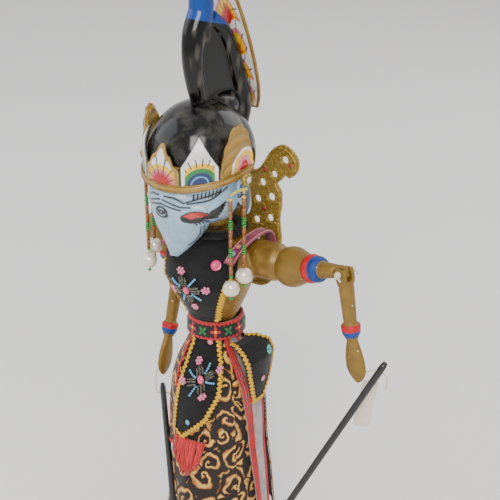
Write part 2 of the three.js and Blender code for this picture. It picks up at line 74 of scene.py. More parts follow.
SKIRT = [(15, 198), (15.2, 185), (19.5, 178), (25.4, 165), (29.6, 152), (31.8, 130), (33.2, 100), (41, HEM_Z)]
TORSO = [(174.35, 0, 12, 11.6), (198, 0, 13, 12.6), (206, -1, 18.5, 15), (220, -3, 26, 20), (234, -4, 32.5, 24),
         (247, -1, 35, 23), (257, 3, 30, 19), (264, 4, 18, 14), (268, 2, 11, 11)]
STRANDS = {"rear": (40.5, -18.5, 249), "front": (37, -28, 242)}
STRAND_TOP_Z = 305
PEARL_R = 6
PEARL_BALL = 5.75  # a little under PEARL_R, so that a swinging strand clears the shoulder
STUB_R = 13.1  # a little under the solid's 14, for the same reason
SKULL_CENTRE_Y = -12
HAIR_C, HAIR_R = Vector((0, SKULL_CENTRE_Y, 325)), Vector((35.4, 37, 36))
SIDES = {"left": 1, "right": -1}


# ---- camera and light -------------------------------------------------------------------------
def look_at(place, target):
    return (target - place).to_track_quat("-Z", "Y").to_euler()


def make_camera():
    azimuth, pitch, distance = math.radians(38), math.radians(24), 700
    target = Vector((19.3, 15.1, 250))
    back = Vector((math.sin(azimuth) * math.cos(pitch), -math.cos(azimuth) * math.cos(pitch), math.sin(pitch)))
    data = bpy.data.cameras.new("camera")
    data.lens = 72
    camera = bpy.data.objects.new("camera", data)
    camera.location = (target + back * distance) * MM
    camera.rotation_euler = look_at(camera.location, target * MM)
    bpy.context.collection.objects.link(camera)
    bpy.context.scene.camera = camera


def make_light(name, place, size, power, tint):
    data = bpy.data.lights.new(name, "AREA")
    data.size, data.energy, data.color = size, power, tint
    lamp = bpy.data.objects.new(name, data)
    lamp.location = place
    lamp.rotation_euler = look_at(Vector(place), Vector((0, 0, 0.25)))
    bpy.context.collection.objects.link(lamp)


def make_stage():
    world = bpy.data.worlds.new("studio")
    world.use_nodes = True
    world.node_tree.nodes["Background"].inputs["Color"].default_value = (0.83, 0.82, 0.82, 1)
    world.node_tree.nodes["Background"].inputs["Strength"].default_value = 1.05
    bpy.context.scene.world = world
    make_light("window", (0.9, -1.3, 1.5), 1.0, 36, (1, 0.98, 0.95))
    make_light("room", (-1.4, -0.7, 1.2), 1.4, 9, (0.93, 0.96, 1))
    make_light("behind", (0.3, 1.5, 1.3), 1.2, 8, (1, 1, 1))
    material = Mat("stage_floor", 0.9, specular_ior_level=0.2)
    material.colour(material.ramp(material.noise(6), [(0.3, (0.87, 0.855, 0.85)), (0.7, (0.89, 0.875, 0.865))]))
    bpy.ops.mesh.primitive_plane_add(size=12)
    floor = bpy.context.object
    floor.name = "stage_floor"
    floor.data.materials.append(material.made)


# ---- materials ----------------------------------------------------------------------------------
def lin(code):
    """Linear colour of an sRGB hex code such as 0xa9c0cf."""
    parts = [((code >> shift) & 255) / 255 for shift in (16, 8, 0)]
    return tuple(c / 12.92 if c <= 0.04045 else ((c + 0.055) / 1.055) ** 2.4 for c in parts)


SHADER = {"coat_weight": "Coat Weight", "coat_roughness": "Coat Roughness", "sheen_weight": "Sheen Weight",
          "sheen_roughness": "Sheen Roughness", "specular_ior_level": "Specular IOR Level"}


class Mat:
    """A Principled material, with short calls for the nodes that feed it. Coordinates are the piece's own."""

    def __init__(self, name, roughness, metallic=0.0, **shader):
        self.made = bpy.data.materials.new(name)
        self.made.use_nodes = True
        self.tree = self.made.node_tree
        self.bsdf = self.tree.nodes["Principled BSDF"]
        self.set("Roughness", roughness)
        self.set("Metallic", metallic)
        for key, value in shader.items():
            self.set(SHADER[key], value)
        self.normal = None

    def set(self, socket, value):
        if isinstance(value, bpy.types.NodeSocket):
            self.tree.links.new(value, self.bsdf.inputs[socket])
        else:
            self.bsdf.inputs[socket].default_value = value

    def node(self, kind, inputs=(), **props):
        made = self.tree.nodes.new(kind)
        for key, value in props.items():
            setattr(made, key, value)
        for key, value in dict(inputs).items():
            if isinstance(value, bpy.types.NodeSocket):
                self.tree.links.new(value, made.inputs[key])
            else:
                made.inputs[key].default_value = value
        return made

    def place(self):
        return self.node("ShaderNodeTexCoord").outputs["Object"]

    def uv(self):
        return self.node("ShaderNodeTexCoord").outputs["UV"]

    def noise(self, scale, detail=3, vector=None, rough=0.55):
        """Noise of about `scale` millimetres."""
        inputs = {"Vector": vector or self.place(), "Scale": 1000 / scale, "Detail": detail, "Roughness": rough}
        return self.node("ShaderNodeTexNoise", inputs).outputs["Fac"]

    def stretch(self, x, y, z, vector=None):
        inputs = {"Vector": vector or self.place(), "Scale": (x, y, z)}
        return self.node("ShaderNodeMapping", inputs).outputs["Vector"]

    def ramp(self, fac, stops, kind="LINEAR"):
        made = self.node("ShaderNodeValToRGB", {"Fac": fac})
        made.color_ramp.interpolation = kind
        spots = made.color_ramp.elements
        while len(spots) < len(stops):
            spots.new(0.5)
        for spot, (at, colour) in zip(spots, stops):
            spot.position = at
            spot.color = (*((colour,) * 3 if isinstance(colour, (int, float)) else colour), 1)
        return made.outputs["Color"]

    def mix(self, fac, a, b, blend="MIX"):
        made = self.node("ShaderNodeMix", data_type="RGBA", blend_type=blend)
        for index, value in ((0, fac), (6, a), (7, b)):
            if isinstance(value, bpy.types.NodeSocket):
                self.tree.links.new(value, made.inputs[index])
            else:
                made.inputs[index].default_value = value if index == 0 else (*value, 1)
        return made.outputs[2]

    def math(self, kind, a, b=0.0, clamp=False):
        return self.node("ShaderNodeMath", {0: a, 1: b}, operation=kind, use_clamp=clamp).outputs[0]

    def attribute(self, name="paint"):
        return self.node("ShaderNodeAttribute", attribute_name=name).outputs["Color"]

    def colour(self, value):
        self.set("Base Color", value if isinstance(value, bpy.types.NodeSocket) else (*value, 1))
        return self

    def bump(self, height, depth, strength=1.0):
        """Raises the surface by `height` times `depth` millimetres."""
        inputs = {"Height": height, "Distance": depth * MM, "Strength": strength}
        if self.normal:
            inputs["Normal"] = self.normal
        self.normal = self.node("ShaderNodeBump", inputs).outputs["Normal"]
        self.set("Normal", self.normal)
        return self


def gold_material():
    """Bronze-gold paint over carved wood: streaks of the brush, pale where it has worn."""
    m = Mat("gold_paint", 0.4, 0.35, coat_weight=0.15, coat_roughness=0.3)
    streaks = m.noise(7, 6, m.stretch(1, 1, 0.6))
    base = m.ramp(streaks, [(0.3, lin(0x6c501a)), (0.5, lin(0x856422)), (0.75, lin(0xa08038))])
    worn = m.ramp(m.noise(5.5, 4), [(0.7, 0.0), (0.74, 1.0)])
    m.colour(m.mix(m.math("MULTIPLY", worn, 0.55), base, lin(0xcdbb8c)))
    m.set("Roughness", m.ramp(m.noise(6), [(0.3, 0.34), (0.7, 0.56)]))
    return m.bump(m.noise(1.5, 4, m.stretch(1, 1, 0.4)), 0.05)


def painted_material(name, roughness, metallic=0.0, grain=0.05, **shader):
    """Colours come from the piece's own paint attribute, with brush marks and a little dirt over them."""
    m = Mat(name, roughness, metallic, **shader)
    dirt = m.ramp(m.noise(7, 6), [(0.3, 0.74), (0.62, 1.0)])
    m.colour(m.mix(1.0, m.attribute(), dirt, "MULTIPLY"))
    return m.bump(m.noise(1.6, 4), grain)


def black_gloss_material():
    """Black lacquer with dust that lies on it in soft patches."""
    m = Mat("black_lacquer", 0.14, 0, coat_weight=0.2, coat_roughness=0.08, specular_ior_level=0.35)
    dust = m.ramp(m.noise(11, 7), [(0.46, 0.0), (0.72, 1.0)])
    normal = m.node("ShaderNodeNewGeometry").outputs["Normal"]
    up = m.node("ShaderNodeSeparateXYZ", {"Vector": normal}).outputs["Z"]
    dust = m.math("MULTIPLY", dust, m.math("ADD", m.math("MULTIPLY", up, 0.45), 0.35, clamp=True))
    m.colour(m.mix(dust, lin(0x050505), lin(0x55544a)))
    m.set("Roughness", m.ramp(dust, [(0.0, 0.14), (0.6, 0.55)]))
    return m.bump(m.noise(5, 3), 0.12)


def velvet_material(name="black_velvet", dark=0x060607, pale=0x161518, sheen=0.12):
    m = Mat(name, 0.95, 0, sheen_weight=sheen, sheen_roughness=0.4)
    crush = m.noise(5, 5)
    m.colour(m.ramp(crush, [(0.35, lin(dark)), (0.75, lin(pale))]))
    return m.bump(m.noise(0.35, 2), 0.12).bump(crush, 0.25)


def weave_height(m, pitch):
    """Height of a plain weave whose threads are `pitch` millimetres apart."""
    u, v, _ = m.node("ShaderNodeSeparateXYZ", {"Vector": m.uv()}).outputs
    turn = 2 * math.pi / (pitch * MM)
    a = m.math("SINE", m.math("MULTIPLY", u, turn))
    b = m.math("SINE", m.math("MULTIPLY", v, turn))
    return m.math("ADD", m.math("MULTIPLY", m.math("MULTIPLY", a, b), 0.5), 0.5)


def cloth_material(name, tone, pale, pitch=0.5, sheen=0.2):
    m = Mat(name, 0.85, 0, sheen_weight=sheen)
    m.colour(m.ramp(m.noise(9, 5), [(0.3, lin(tone)), (0.7, lin(pale))]))
    return m.bump(weave_height(m, pitch), 0.06).bump(m.noise(2.5, 4), 0.2)


def batik_material():
    """Wax-resist cotton: cream and gold scrolls, one in each cell, on a dark brown ground."""
    m = Mat("batik_cotton", 0.8, 0, sheen_weight=0.1)
    cell = 19.0
    flat = m.node("ShaderNodeVectorMath", {0: m.uv(), 1: (1000 / cell,) * 3}, operation="MULTIPLY").outputs[0]
    wobble = m.node("ShaderNodeTexNoise", {"Vector": flat, "Scale": 1.3, "Detail": 2}).outputs["Color"]
    bend = m.node("ShaderNodeVectorMath", {0: wobble, 1: (0.5, 0.5, 0.5)}, operation="SUBTRACT").outputs[0]
    bend = m.node("ShaderNodeVectorMath", {0: bend, 1: (0.9, 0.9, 0)}, operation="MULTIPLY").outputs[0]
    spot = m.node("ShaderNodeVectorMath", {0: flat, 1: bend}, operation="ADD").outputs[0]
    spread = {"Vector": spot, "Scale": 1, "Randomness": 0.8}
    cells = m.node("ShaderNodeTexVoronoi", spread, voronoi_dimensions="2D")
    local = m.node("ShaderNodeVectorMath", {0: spot, 1: cells.outputs["Position"]}, operation="SUBTRACT").outputs[0]
    x, y, _ = m.node("ShaderNodeSeparateXYZ", {"Vector": local}).outputs
    r = cells.outputs["Distance"]
    hand = m.node("ShaderNodeSeparateColor", {"Color": cells.outputs["Color"]}).outputs[0]
    hand = m.math("SUBTRACT", m.math("MULTIPLY", m.math("GREATER_THAN", hand, 0.5), 2), 1)
    turn = m.math("MULTIPLY", m.math("DIVIDE", m.math("ARCTAN2", y, x), 2 * math.pi), hand)
    phase = m.math("FRACT", m.math("ADD", turn, m.math("MULTIPLY", m.math("POWER", r, 0.72), 2.5)))
    ink = lin(0x0f0b08)
    scroll = m.ramp(phase, [(0.0, ink), (0.3, ink), (0.34, lin(0xa55a12)), (0.42, lin(0xcf9030)),
                            (0.54, lin(0xe6c678)), (0.66, lin(0xd99a38)), (0.77, lin(0x8f4a12)), (0.82, ink)])
    edge = m.node("ShaderNodeTexVoronoi", spread, voronoi_dimensions="2D", feature="DISTANCE_TO_EDGE")
    edge = edge.outputs["Distance"]
    ground = m.ramp(edge, [(0.03, 1.0), (0.07, 0.0)])
    dyed = m.mix(ground, scroll, ink)
    m.colour(m.mix(m.ramp(m.noise(11, 4), [(0.4, 0.0), (0.8, 0.5)]), dyed, lin(0x3a2410)))
    return m.bump(weave_height(m, 0.5), 0.05).bump(m.noise(3, 4), 0.25)


def wood_material():
    m = Mat("stand_wood", 0.5, 0, coat_weight=0.2)
    rings = m.noise(3, 6, m.stretch(1, 1, 0.08))
    m.colour(m.ramp(rings, [(0.3, lin(0x3e2210)), (0.7, lin(0x7d4c26))]))
    return m.bump(rings, 0.15)


def ebony_material():
    """Thin dark stick, stained black, with a fine grain."""
    m = Mat("ebony_stick", 0.38, 0, coat_weight=0.25)
    grain = m.noise(2, 5, m.stretch(1, 1, 0.1))
    m.colour(m.ramp(grain, [(0.35, lin(0x0c0b0c)), (0.8, lin(0x242124))]))
    return m.bump(grain, 0.08)


def cord_material(name, tone, pale):
    m = Mat(name, 0.8, 0, sheen_weight=0.3)
    lay = {"Vector": m.place(), "Scale": 500, "Distortion": 2}
    twist = m.node("ShaderNodeTexWave", lay, bands_direction="DIAGONAL")
    m.colour(m.ramp(twist.outputs["Fac"], [(0.1, lin(tone)), (0.8, lin(pale))]))
    return m.bump(twist.outputs["Fac"], 0.15)


def bead_material():
    """Glass beads: the colour is each bead's own."""
    m = Mat("glass_beads", 0.2, 0, coat_weight=0.4)
    return m.colour(m.mix(1.0, m.attribute(), m.ramp(m.noise(1.5), [(0.3, 0.75), (0.7, 1.1)]), "MULTIPLY"))


def pearl_material():
    m = Mat("cream_pearl", 0.22, 0.25, coat_weight=1.0, coat_roughness=0.06)
    return m.colour(m.ramp(m.noise(6, 2), [(0.3, lin(0xd8ccb2)), (0.7, lin(0xf0e8d6))])).bump(m.noise(4, 2), 0.02)


def gilt_material():
    """Pierced leather board with gold leaf paint, cracked and rubbed."""
    m = Mat("gilt_leather", 0.42, 0.45)
    cracks = m.node("ShaderNodeTexVoronoi", {"Vector": m.place(), "Scale": 550}, feature="DISTANCE_TO_EDGE")
    tone = m.ramp(m.noise(2, 5), [(0.3, lin(0x806420)), (0.55, lin(0xb0903e)), (0.75, lin(0xd4bb6c))])
    m.colour(m.mix(m.ramp(cracks.outputs["Distance"], [(0.0, 0.6), (0.08, 0.0)]), tone, lin(0x3c2e12)))
    return m.bump(m.noise(1.1, 4), 0.3).bump(cracks.outputs["Distance"], 0.1)


def paper_material():
    m = Mat("blank_card", 0.9)
    m.colour(m.ramp(m.noise(8, 4), [(0.3, lin(0xd9c4b4)), (0.7, lin(0xe8d8c8))]))
    return m.bump(m.noise(0.6, 3), 0.04)


def make_materials():
    return {
        "gold": gold_material().made, "skin": painted_material("face_paint", 0.3, coat_weight=0.35).made,
        "lacquer": black_gloss_material().made, "velvet": velvet_material().made, "batik": batik_material().made,
        "mauve": cloth_material("mauve_cotton", 0x8d7c7e, 0xb5a5a4).made,
        "maroon": velvet_material("maroon_velvet", 0x2e0610, 0x5c0f22, 0.3).made,
        "pink": cloth_material("plum_strap", 0x6e2038, 0x9c3c56, 0.6).made,
        "black": velvet_material("black_ribbon", 0x080808, 0x1c1c1c, 0.1).made,
        "wood": wood_material().made, "ebony": ebony_material().made,
        "cord": cord_material("pale_cord", 0xb8ad8a, 0xe6dcc0).made,
        "yellow": cord_material("yellow_cord", 0xa89a2c, 0xdccf5a).made, "beads": bead_material().made,
        "pearl": pearl_material().made, "gilt": gilt_material().made, "paper": paper_material().made,
        "braid": painted_material("gold_braid", 0.45, 0.3, 0.1).made,
        "ribbon": painted_material("woven_ribbon", 0.8, 0, 0.06, sheen_weight=0.2).made,
        "gloss": painted_material("painted_lacquer", 0.12, 0, 0.03, coat_weight=0.15, specular_ior_level=0.3).made,
        "enamel": painted_material("painted_panels", 0.28, 0, 0.05, coat_weight=0.3).made,
        "bands": painted_material("painted_bands", 0.46, 0.2, 0.1).made,
    }


# ---- mesh tools -----------------------------------------------------------------------------------
def add_object(name, points, faces, material, body, colours=None, uvs=None, replaces=()):
    """Makes a smooth piece from millimetre points, and puts it on its body."""
    mesh = bpy.data.meshes.new(name)
    mesh.from_pydata([tuple(c * MM for c in p) for p in points], [], faces)
    mesh.polygons.foreach_set("use_smooth", [True] * len(mesh.polygons))
    if colours is not None:
        layer = mesh.color_attributes.new("paint", "FLOAT_COLOR", "POINT")
        layer.data.foreach_set("color", np.c_[np.asarray(colours, float), np.ones(len(points))].ravel())
    if uvs is not None:
        layer = mesh.uv_layers.new(name="flat")
        corner = np.empty(len(mesh.loops), int)
        mesh.loops.foreach_get("vertex_index", corner)
        layer.data.foreach_set("uv", (np.asarray(uvs, float)[corner] * MM).ravel())
    mesh.materials.append(material)
    piece = bpy.data.objects.new(name, mesh)
    bpy.context.collection.objects.link(piece)
    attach(piece, body)
    if replaces:
        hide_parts(*replaces)
    return piece


def sharpen(piece, degrees=35):
    """Keeps edges sharper than this crisp."""
    piece.data.set_sharp_from_angle(angle=math.radians(degrees))
    return piece


def sheet_mesh(place, across, down, thickness, closed=False, colour=None, flat=None):
    """Closed sheet from place(u, v, lift). The outer face is at lift 0. Returns points, faces, colours, uvs."""
    points, colours, uvs, faces = [], [], [], []
    columns = across if closed else across + 1
    for lift in (0, -thickness):
        for j in range(down + 1):
            for i in range(columns):
                u, v = i / across, j / down
                points.append(place(u, v, lift))
                colours.append(colour(u, v) if colour else (1, 1, 1))
                uvs.append(flat(u, v) if flat else (u * 100, v * 100))
    layer = columns * (down + 1)

    def at(i, j, side):
        return side * layer + j * columns + i % columns
    for j in range(down):
        for i in range(across):
            faces.append((at(i, j, 0), at(i, j + 1, 0), at(i + 1, j + 1, 0), at(i + 1, j, 0)))
            faces.append((at(i, j, 1), at(i + 1, j, 1), at(i + 1, j + 1, 1), at(i, j + 1, 1)))
    for i in range(across):
        faces.append((at(i, 0, 0), at(i + 1, 0, 0), at(i + 1, 0, 1), at(i, 0, 1)))
        faces.append((at(i, down, 0), at(i, down, 1), at(i + 1, down, 1), at(i + 1, down, 0)))
    if not closed:
        for j in range(down):
            faces.append((at(0, j, 0), at(0, j, 1), at(0, j + 1, 1), at(0, j + 1, 0)))
            faces.append((at(across, j, 0), at(across, j + 1, 0), at(across, j + 1, 1), at(across, j, 1)))
    return points, faces, colours, uvs


def frames_along(points):
    """Side and top directions at each point of a route."""
    result = []
    count = len(points)
    guide = Vector((0.3, 0.2, 1)).normalized()
    for i in range(count):
        tangent = (points[min(i + 1, count - 1)] - points[max(i - 1, 0)]).normalized()
        side = tangent.cross(guide)
        side = side.normalized() if side.length > 1e-4 else tangent.orthogonal().normalized()
        guide = side.cross(tangent).normalized()
        result.append((side, guide))
    return result


def smooth_route(points, steps=6):
    """Catmull-Rom curve through points, with `steps` points for each stretch."""
    pts = [Vector(p) for p in points]
    ends = [2 * pts[0] - pts[1], *pts, 2 * pts[-1] - pts[-2]]
    route = []
    for a, b, c, d in zip(ends, ends[1:], ends[2:], ends[3:]):
        for k in range(steps):
            t = k / steps
            route.append(0.5 * ((2 * b) + (c - a) * t + (2 * a - 5 * b + 4 * c - d) * t * t
                                + (3 * b - 3 * c + d - a) * t ** 3))
    return [*route, pts[-1]]


def route_length(points):
    return sum((b - a).length for a, b in zip(points, points[1:]))


class Bits:
    """Gathers small closed shapes, each with its own colour, into one piece."""

    def __init__(self):
        self.points, self.faces, self.colours = [], [], []

    def shape(self, points, faces, colour):
        start = len(self.points)
        self.points += [tuple(p) for p in points]
        self.faces += [tuple(i + start for i in face) for face in faces]
        self.colours += [colour] * len(points)

    def rings(self, rings, colour):
        """Closed skin through rings of points, with a flat fan at each end."""
        count = len(rings[0])
        points = [p for ring in rings for p in ring]
        faces = []
        for r in range(len(rings) - 1):
            for i in range(count):
                j = (i + 1) % count
                faces.append((r * count + i, r * count + j, (r + 1) * count + j, (r + 1) * count + i))
        top = (len(rings) - 1) * count
        faces += [tuple(range(count - 1, -1, -1)), tuple(top + i for i in range(count))]
        self.shape(points, faces, colour)

    def tube(self, points, radius, colour, sides=8, flat=1.0):
        """Round tube along points. `radius` is a number or one for each point; `flat` thins it one way."""
        radii = radius if hasattr(radius, "__len__") else [radius] * len(points)
        rings = []
        for p, r, (side, top) in zip(points, radii, frames_along(points)):
            turn = [2 * math.pi * i / sides for i in range(sides)]
            rings.append([p + side * (r * math.cos(a)) + top * (r * flat * math.sin(a)) for a in turn])
        self.rings(rings, colour)

    def ball(self, centre, radii, colour, around=10, down=7, turn=None):
        radii = Vector(radii) if hasattr(radii, "__len__") else Vector((radii,) * 3)
        turn = turn or Matrix.Identity(3)
        points = [Vector(centre) + turn @ Vector((0, 0, radii.z))]
        for j in range(1, down):
            b = math.pi * j / down
            for i in range(around):
                a = 2 * math.pi * i / around
                spot = Vector((radii.x * math.sin(b) * math.cos(a), radii.y * math.sin(b) * math.sin(a),
                               radii.z * math.cos(b)))
                points.append(Vector(centre) + turn @ spot)
        points.append(Vector(centre) + turn @ Vector((0, 0, -radii.z)))
        last = len(points) - 1
        faces = [(0, 1 + i, 1 + (i + 1) % around) for i in range(around)]
        for j in range(down - 2):
            for i in range(around):
                a, b = 1 + j * around + i, 1 + j * around + (i + 1) % around
                faces.append((a, a + around, b + around, b))
        base = 1 + (down - 2) * around
        faces += [(last, base + (i + 1) % around, base + i) for i in range(around)]
        self.shape(points, faces, colour)

    def turned(self, profile, colour, sides=32, place=None):
        """Piece turned about its own Z from (radius, z) points that start and end on the axis."""
        place = place or Matrix.Identity(4)
        inner = profile[1:-1]
        points = [place @ Vector((0, 0, profile[0][1]))]
        turn = [2 * math.pi * i / sides for i in range(sides)]
        for r, z in inner:
            points += [place @ Vector((r * math.cos(a), r * math.sin(a), z)) for a in turn]
        points.append(place @ Vector((0, 0, profile[-1][1])))
        last = len(points) - 1
        faces = [(0, 1 + (i + 1) % sides, 1 + i) for i in range(sides)]
        for j in range(len(inner) - 1):
            for i in range(sides):
                a, b = 1 + j * sides + i, 1 + j * sides + (i + 1) % sides
                faces.append((a, b, b + sides, a + sides))
        base = 1 + (len(inner) - 1) * sides
        faces += [(last, base + i, base + (i + 1) % sides) for i in range(sides)]
        self.shape(points, faces, colour)

    def make(self, name, material, body, slot, replaces=()):
        return add_object(name, self.points, self.faces, material, body, self.colours, replaces=replaces)


def carved(bits, name, voxel, smooth, material, body, slot, replaces=()):
    """Joins overlapping shapes into one carved form."""
    piece = bits.make(name, material, body, slot, replaces)
    remesh = piece.modifiers.new("join", "REMESH")
    remesh.mode = "VOXEL"
    remesh.voxel_size = voxel * MM
    soften = piece.modifiers.new("soften", "SMOOTH")
    soften.factor, soften.iterations = 0.5, smooth
    bpy.context.view_layer.objects.active = piece
    piece.select_set(True)
    for modifier in ("join", "soften"):
        bpy.ops.object.modifier_apply(modifier=modifier)
    piece.select_set(False)
    piece.data.polygons.foreach_set("use_smooth", [True] * len(piece.data.polygons))
    return piece


def vertices_of(piece):
    flat = np.empty(len(piece.data.vertices) * 3)
    piece.data.vertices.foreach_get("co", flat)
    return flat.reshape(-1, 3) / MM


def paint_vertices(piece, colours):
    for layer in list(piece.data.color_attributes):
        piece.data.color_attributes.remove(layer)
    layer = piece.data.color_attributes.new("paint", "FLOAT_COLOR", "POINT")
    layer.data.foreach_set("color", np.c_[colours, np.ones(len(colours))].ravel())


def stroke_cover(spots, line, width, soft=0.25):
    """How much of a brush stroke along a 2-D line covers each spot, from 0 to 1."""
    nearest = np.full(len(spots), 1e9)
    line = np.asarray(line, float)
    for a, b in zip(line, line[1:]):
        way = b - a
        t = np.clip(((spots - a) @ way) / max(way @ way, 1e-9), 0, 1)
        nearest = np.minimum(nearest, np.linalg.norm(spots - (a + t[:, None] * way), axis=1))
    return np.clip((width / 2 + soft - nearest) / soft, 0, 1)


def curve_2d(points, steps=6):
    return [(p.x, p.y) for p in smooth_route([(x, y, 0) for x, y in points], steps)]


def blend(a, b, t):
    return tuple(x + (y - x) * t for x, y in zip(a, b))


def clamped(t):
    return min(max(t, 0), 1)


def along(values, t):
    s = clamped(t) * (len(values) - 1)
    i = min(int(s), len(values) - 2)
    return values[i] + (values[i + 1] - values[i]) * (s - i)


def ease(t):
    t = clamped(t)
    return t * t * (3 - 2 * t)


M = make_materials()

GOLD, GOLD_DARK = lin(0xa58030), lin(0x6d511d)
YELLOW_GOLD = lin(0xd9a826)
WHITE, BLACK = lin(0xe6e6e0), lin(0x0c0b0a)
RED, PINK = lin(0xbd1218), lin(0xdd7f8e)
YELLOW, GREEN = lin(0xf0bd14), lin(0x1c7a34)
NAVY, SKY = lin(0x132a60), lin(0x5fa6cc)
BLUE, SKIN = lin(0x103f8a), lin(0x9dbdd4)
OLIVE, AMBER = lin(0x3a382c), lin(0x8a520c)
LIME, ROSE = lin(0x1f8a26), lin(0xe07ba0)


# ---- skirt and cloth hanging from the waist ---------------------------------------------------
def profile_radius(z):
    for (r0, z0), (r1, z1) in zip(SKIRT, SKIRT[1:]):
        if z >= z1:
            return r0 + (r1 - r0) * clamped((z0 - z) / (z0 - z1))
    return SKIRT[-1][0]


def around(radius, degrees, z):
    a = math.radians(degrees)
    return Vector((radius * math.sin(a), -radius * math.cos(a), z))


def hanging(edges, top, low, stand, folds=0.0, waves=5):
    """Cloth that hangs over the skirt, as a function place(u, v, lift)."""
    def place(u, v, lift):
        first, second = along(edges[0], v), along(edges[1], v)
        z_low = along(low, u) if hasattr(low, "__len__") else low
        z_top = along(top, u) if hasattr(top, "__len__") else top
        z = z_top + (z_low - z_top) * v
        ripple = folds * ease(v * 2) * math.sin(math.pi * waves * u + 2.2 * v) * 0.5
        crumple = 0.18 * math.sin(19 * v + 7 * u) * ease(v * 4)
        radius = profile_radius(z) + along(stand, v) + lift + ripple + crumple
        return around(radius, first + (second - first) * u, z)
    return place


def sheet_span(place):
    """Widest of three widths, and the length down the middle, in millimetres."""
    wide = max(route_length([place(k / 40, v, 0) for k in range(41)]) for v in (0.1, 0.5, 0.95))
    tall = route_length([place(0.5, k / 60, 0) for k in range(61)])
    return wide, tall


def make_sheet(name, place, across, down, thickness, material, node):
    wide, tall = sheet_span(place)
    points, faces, _, uvs = sheet_mesh(place, across, down, thickness, flat=lambda u, v: (u * wide, v * tall))
    return add_object(name, points, faces, material, "torso", None, uvs, (node,))


def on_sheet(place, u, v, lift=0.0):
    """Matrix of a spot on a sheet: X across, Y up the cloth, Z out of it."""
    e = 0.004
    spot = place(u, v, lift)
    x = (place(min(u + e, 1), v, lift) - place(max(u - e, 0), v, lift)).normalized()
    y = (place(u, max(v - e, 0), lift) - place(u, min(v + e, 1), lift)).normalized()
    z = x.cross(y).normalized()
    y = z.cross(x)
    return Matrix(((x.x, y.x, z.x, spot.x), (x.y, y.y, z.y, spot.y), (x.z, y.z, z.z, spot.z), (0, 0, 0, 1)))


def zigzag(bits, place, path, reach, pitch, colour, lift=0.9, width=1.0):
    """Ric-rac braid: a flat tape that swings each side of a path of (u, v) spots on a sheet."""
    spots = [place(u, v, lift) for u, v in path]
    total = route_length(spots)
    count = max(4, int(total / pitch)) * 8
    gone, points, walk = 0.0, [], 0
    lengths = [(b - a).length for a, b in zip(spots, spots[1:])]
    for k in range(count + 1):
        goal = total * k / count
        while walk < len(lengths) - 1 and gone + lengths[walk] < goal:
            gone += lengths[walk]
            walk += 1
        t = clamped((goal - gone) / max(lengths[walk], 1e-6))
        (u0, v0), (u1, v1) = path[walk], path[walk + 1]
        u, v = u0 + (u1 - u0) * t, v0 + (v1 - v0) * t
        frame_here = on_sheet(place, u, v, lift)
        way = (spots[walk + 1] - spots[walk]).normalized()
        side = frame_here.col[2].to_3d().cross(way).normalized()
        points.append(frame_here.translation + side * (reach * math.sin(2 * math.pi * k / 8)))
    bits.tube(points, width, colour, 6, 0.55)


def bead_flower(bits, place, u, v, size, lift=1.2, turn=0.0, gem=lin(0xe0507c)):
    """Beadwork flower: four arms of bugles, a seed-bead cluster at each end, dots between, an oval gem."""
    width = route_length([place(k / 40, v, 0) for k in range(41)])
    height = route_length([place(u, k / 40, 0) for k in range(41)])

    def spot(x, y, out):
        return place(u + x / width, v - y / height, lift + out)
    for arm in range(4):
        a = turn + arm * math.pi / 2
        c, s = math.cos(a), math.sin(a)
        for row in (-1, 0, 1):
            near, far = 0.34 * size, (1.08 if row == 0 else 0.96) * size
            ends = [spot(c * d - s * row * 2.1, s * d + c * row * 2.1, 0) for d in (near, far)]
            bits.tube(ends, 1.0, OLIVE, 10)
        tip = 1.38 * size
        for k in range(7):
            b = 2 * math.pi * k / 6
            reach = 0 if k == 6 else 2.1
            bits.ball(spot(c * tip + reach * math.cos(b), s * tip + reach * math.sin(b), 0.1), 1.1, ROSE, 10, 7)
        d = a + math.pi / 4
        for k in range(5):
            far = size * 0.5 + 1.7 * k
            bits.ball(spot(math.cos(d) * far, math.sin(d) * far, 0), 0.9, SKY, 8, 6)
    centre = on_sheet(place, u, v, lift)
    bits.ball(centre.translation, (2.6, 3.4, 1.6), gem, 14, 9, centre.to_3x3())


def sequin(bits, place, u, v, radius, colour, centre=YELLOW, lift=1.0):
    """Small cupped disc held by a bead."""
    at = on_sheet(place, u, v, lift)
    cup = [(0, 0.45), (0.5, 0.5), (0.96, 0.95), (1, 0.75), (0.6, 0.15), (0, 0.1)]
    bits.turned([(radius * r, z) for r, z in cup], colour, 20, at)
    bits.ball(at @ Vector((0, 0, 0.9)), 0.75, centre, 8, 6)


def scallops(bits, place, path, radius, colour, lift=0.6):
    """A row of small yarn loops along a path of (u, v) spots."""
    spots = [on_sheet(place, u, v, lift) for u, v in path]
    for at in spots:
        bits.ball(at.translation, (radius, radius * 1.15, radius * 0.55), colour, 10, 6, at.to_3x3())


def line_path(u0, u1, v0=0.01, v1=0.99, steps=60):
    return [(u0 + (u1 - u0) * k / steps, v0 + (v1 - v0) * k / steps) for k in range(steps + 1)]


def skirt_place(u, v, lift):
    """Batik cloth wound round the puppet, its free edge left of centre, pleated lightly towards the hem."""
    degrees = 62 - 382 * u
    z = SKIRT[0][1] + (HEM_Z - SKIRT[0][1]) * v
    over = 1.5 * (1 - ease(u * 12)) - 0.9 * ease((u - 0.94) * 16)
    a = math.radians(degrees)
    pleats = (0.9 * math.sin(7 * a + 1.1) + 0.45 * math.sin(13 * a + 4 * v)) * ease((v - 0.12) * 1.4)
    return around(profile_radius(z) + lift + over * ease(v * 6) + pleats * 0.55, degrees, z)


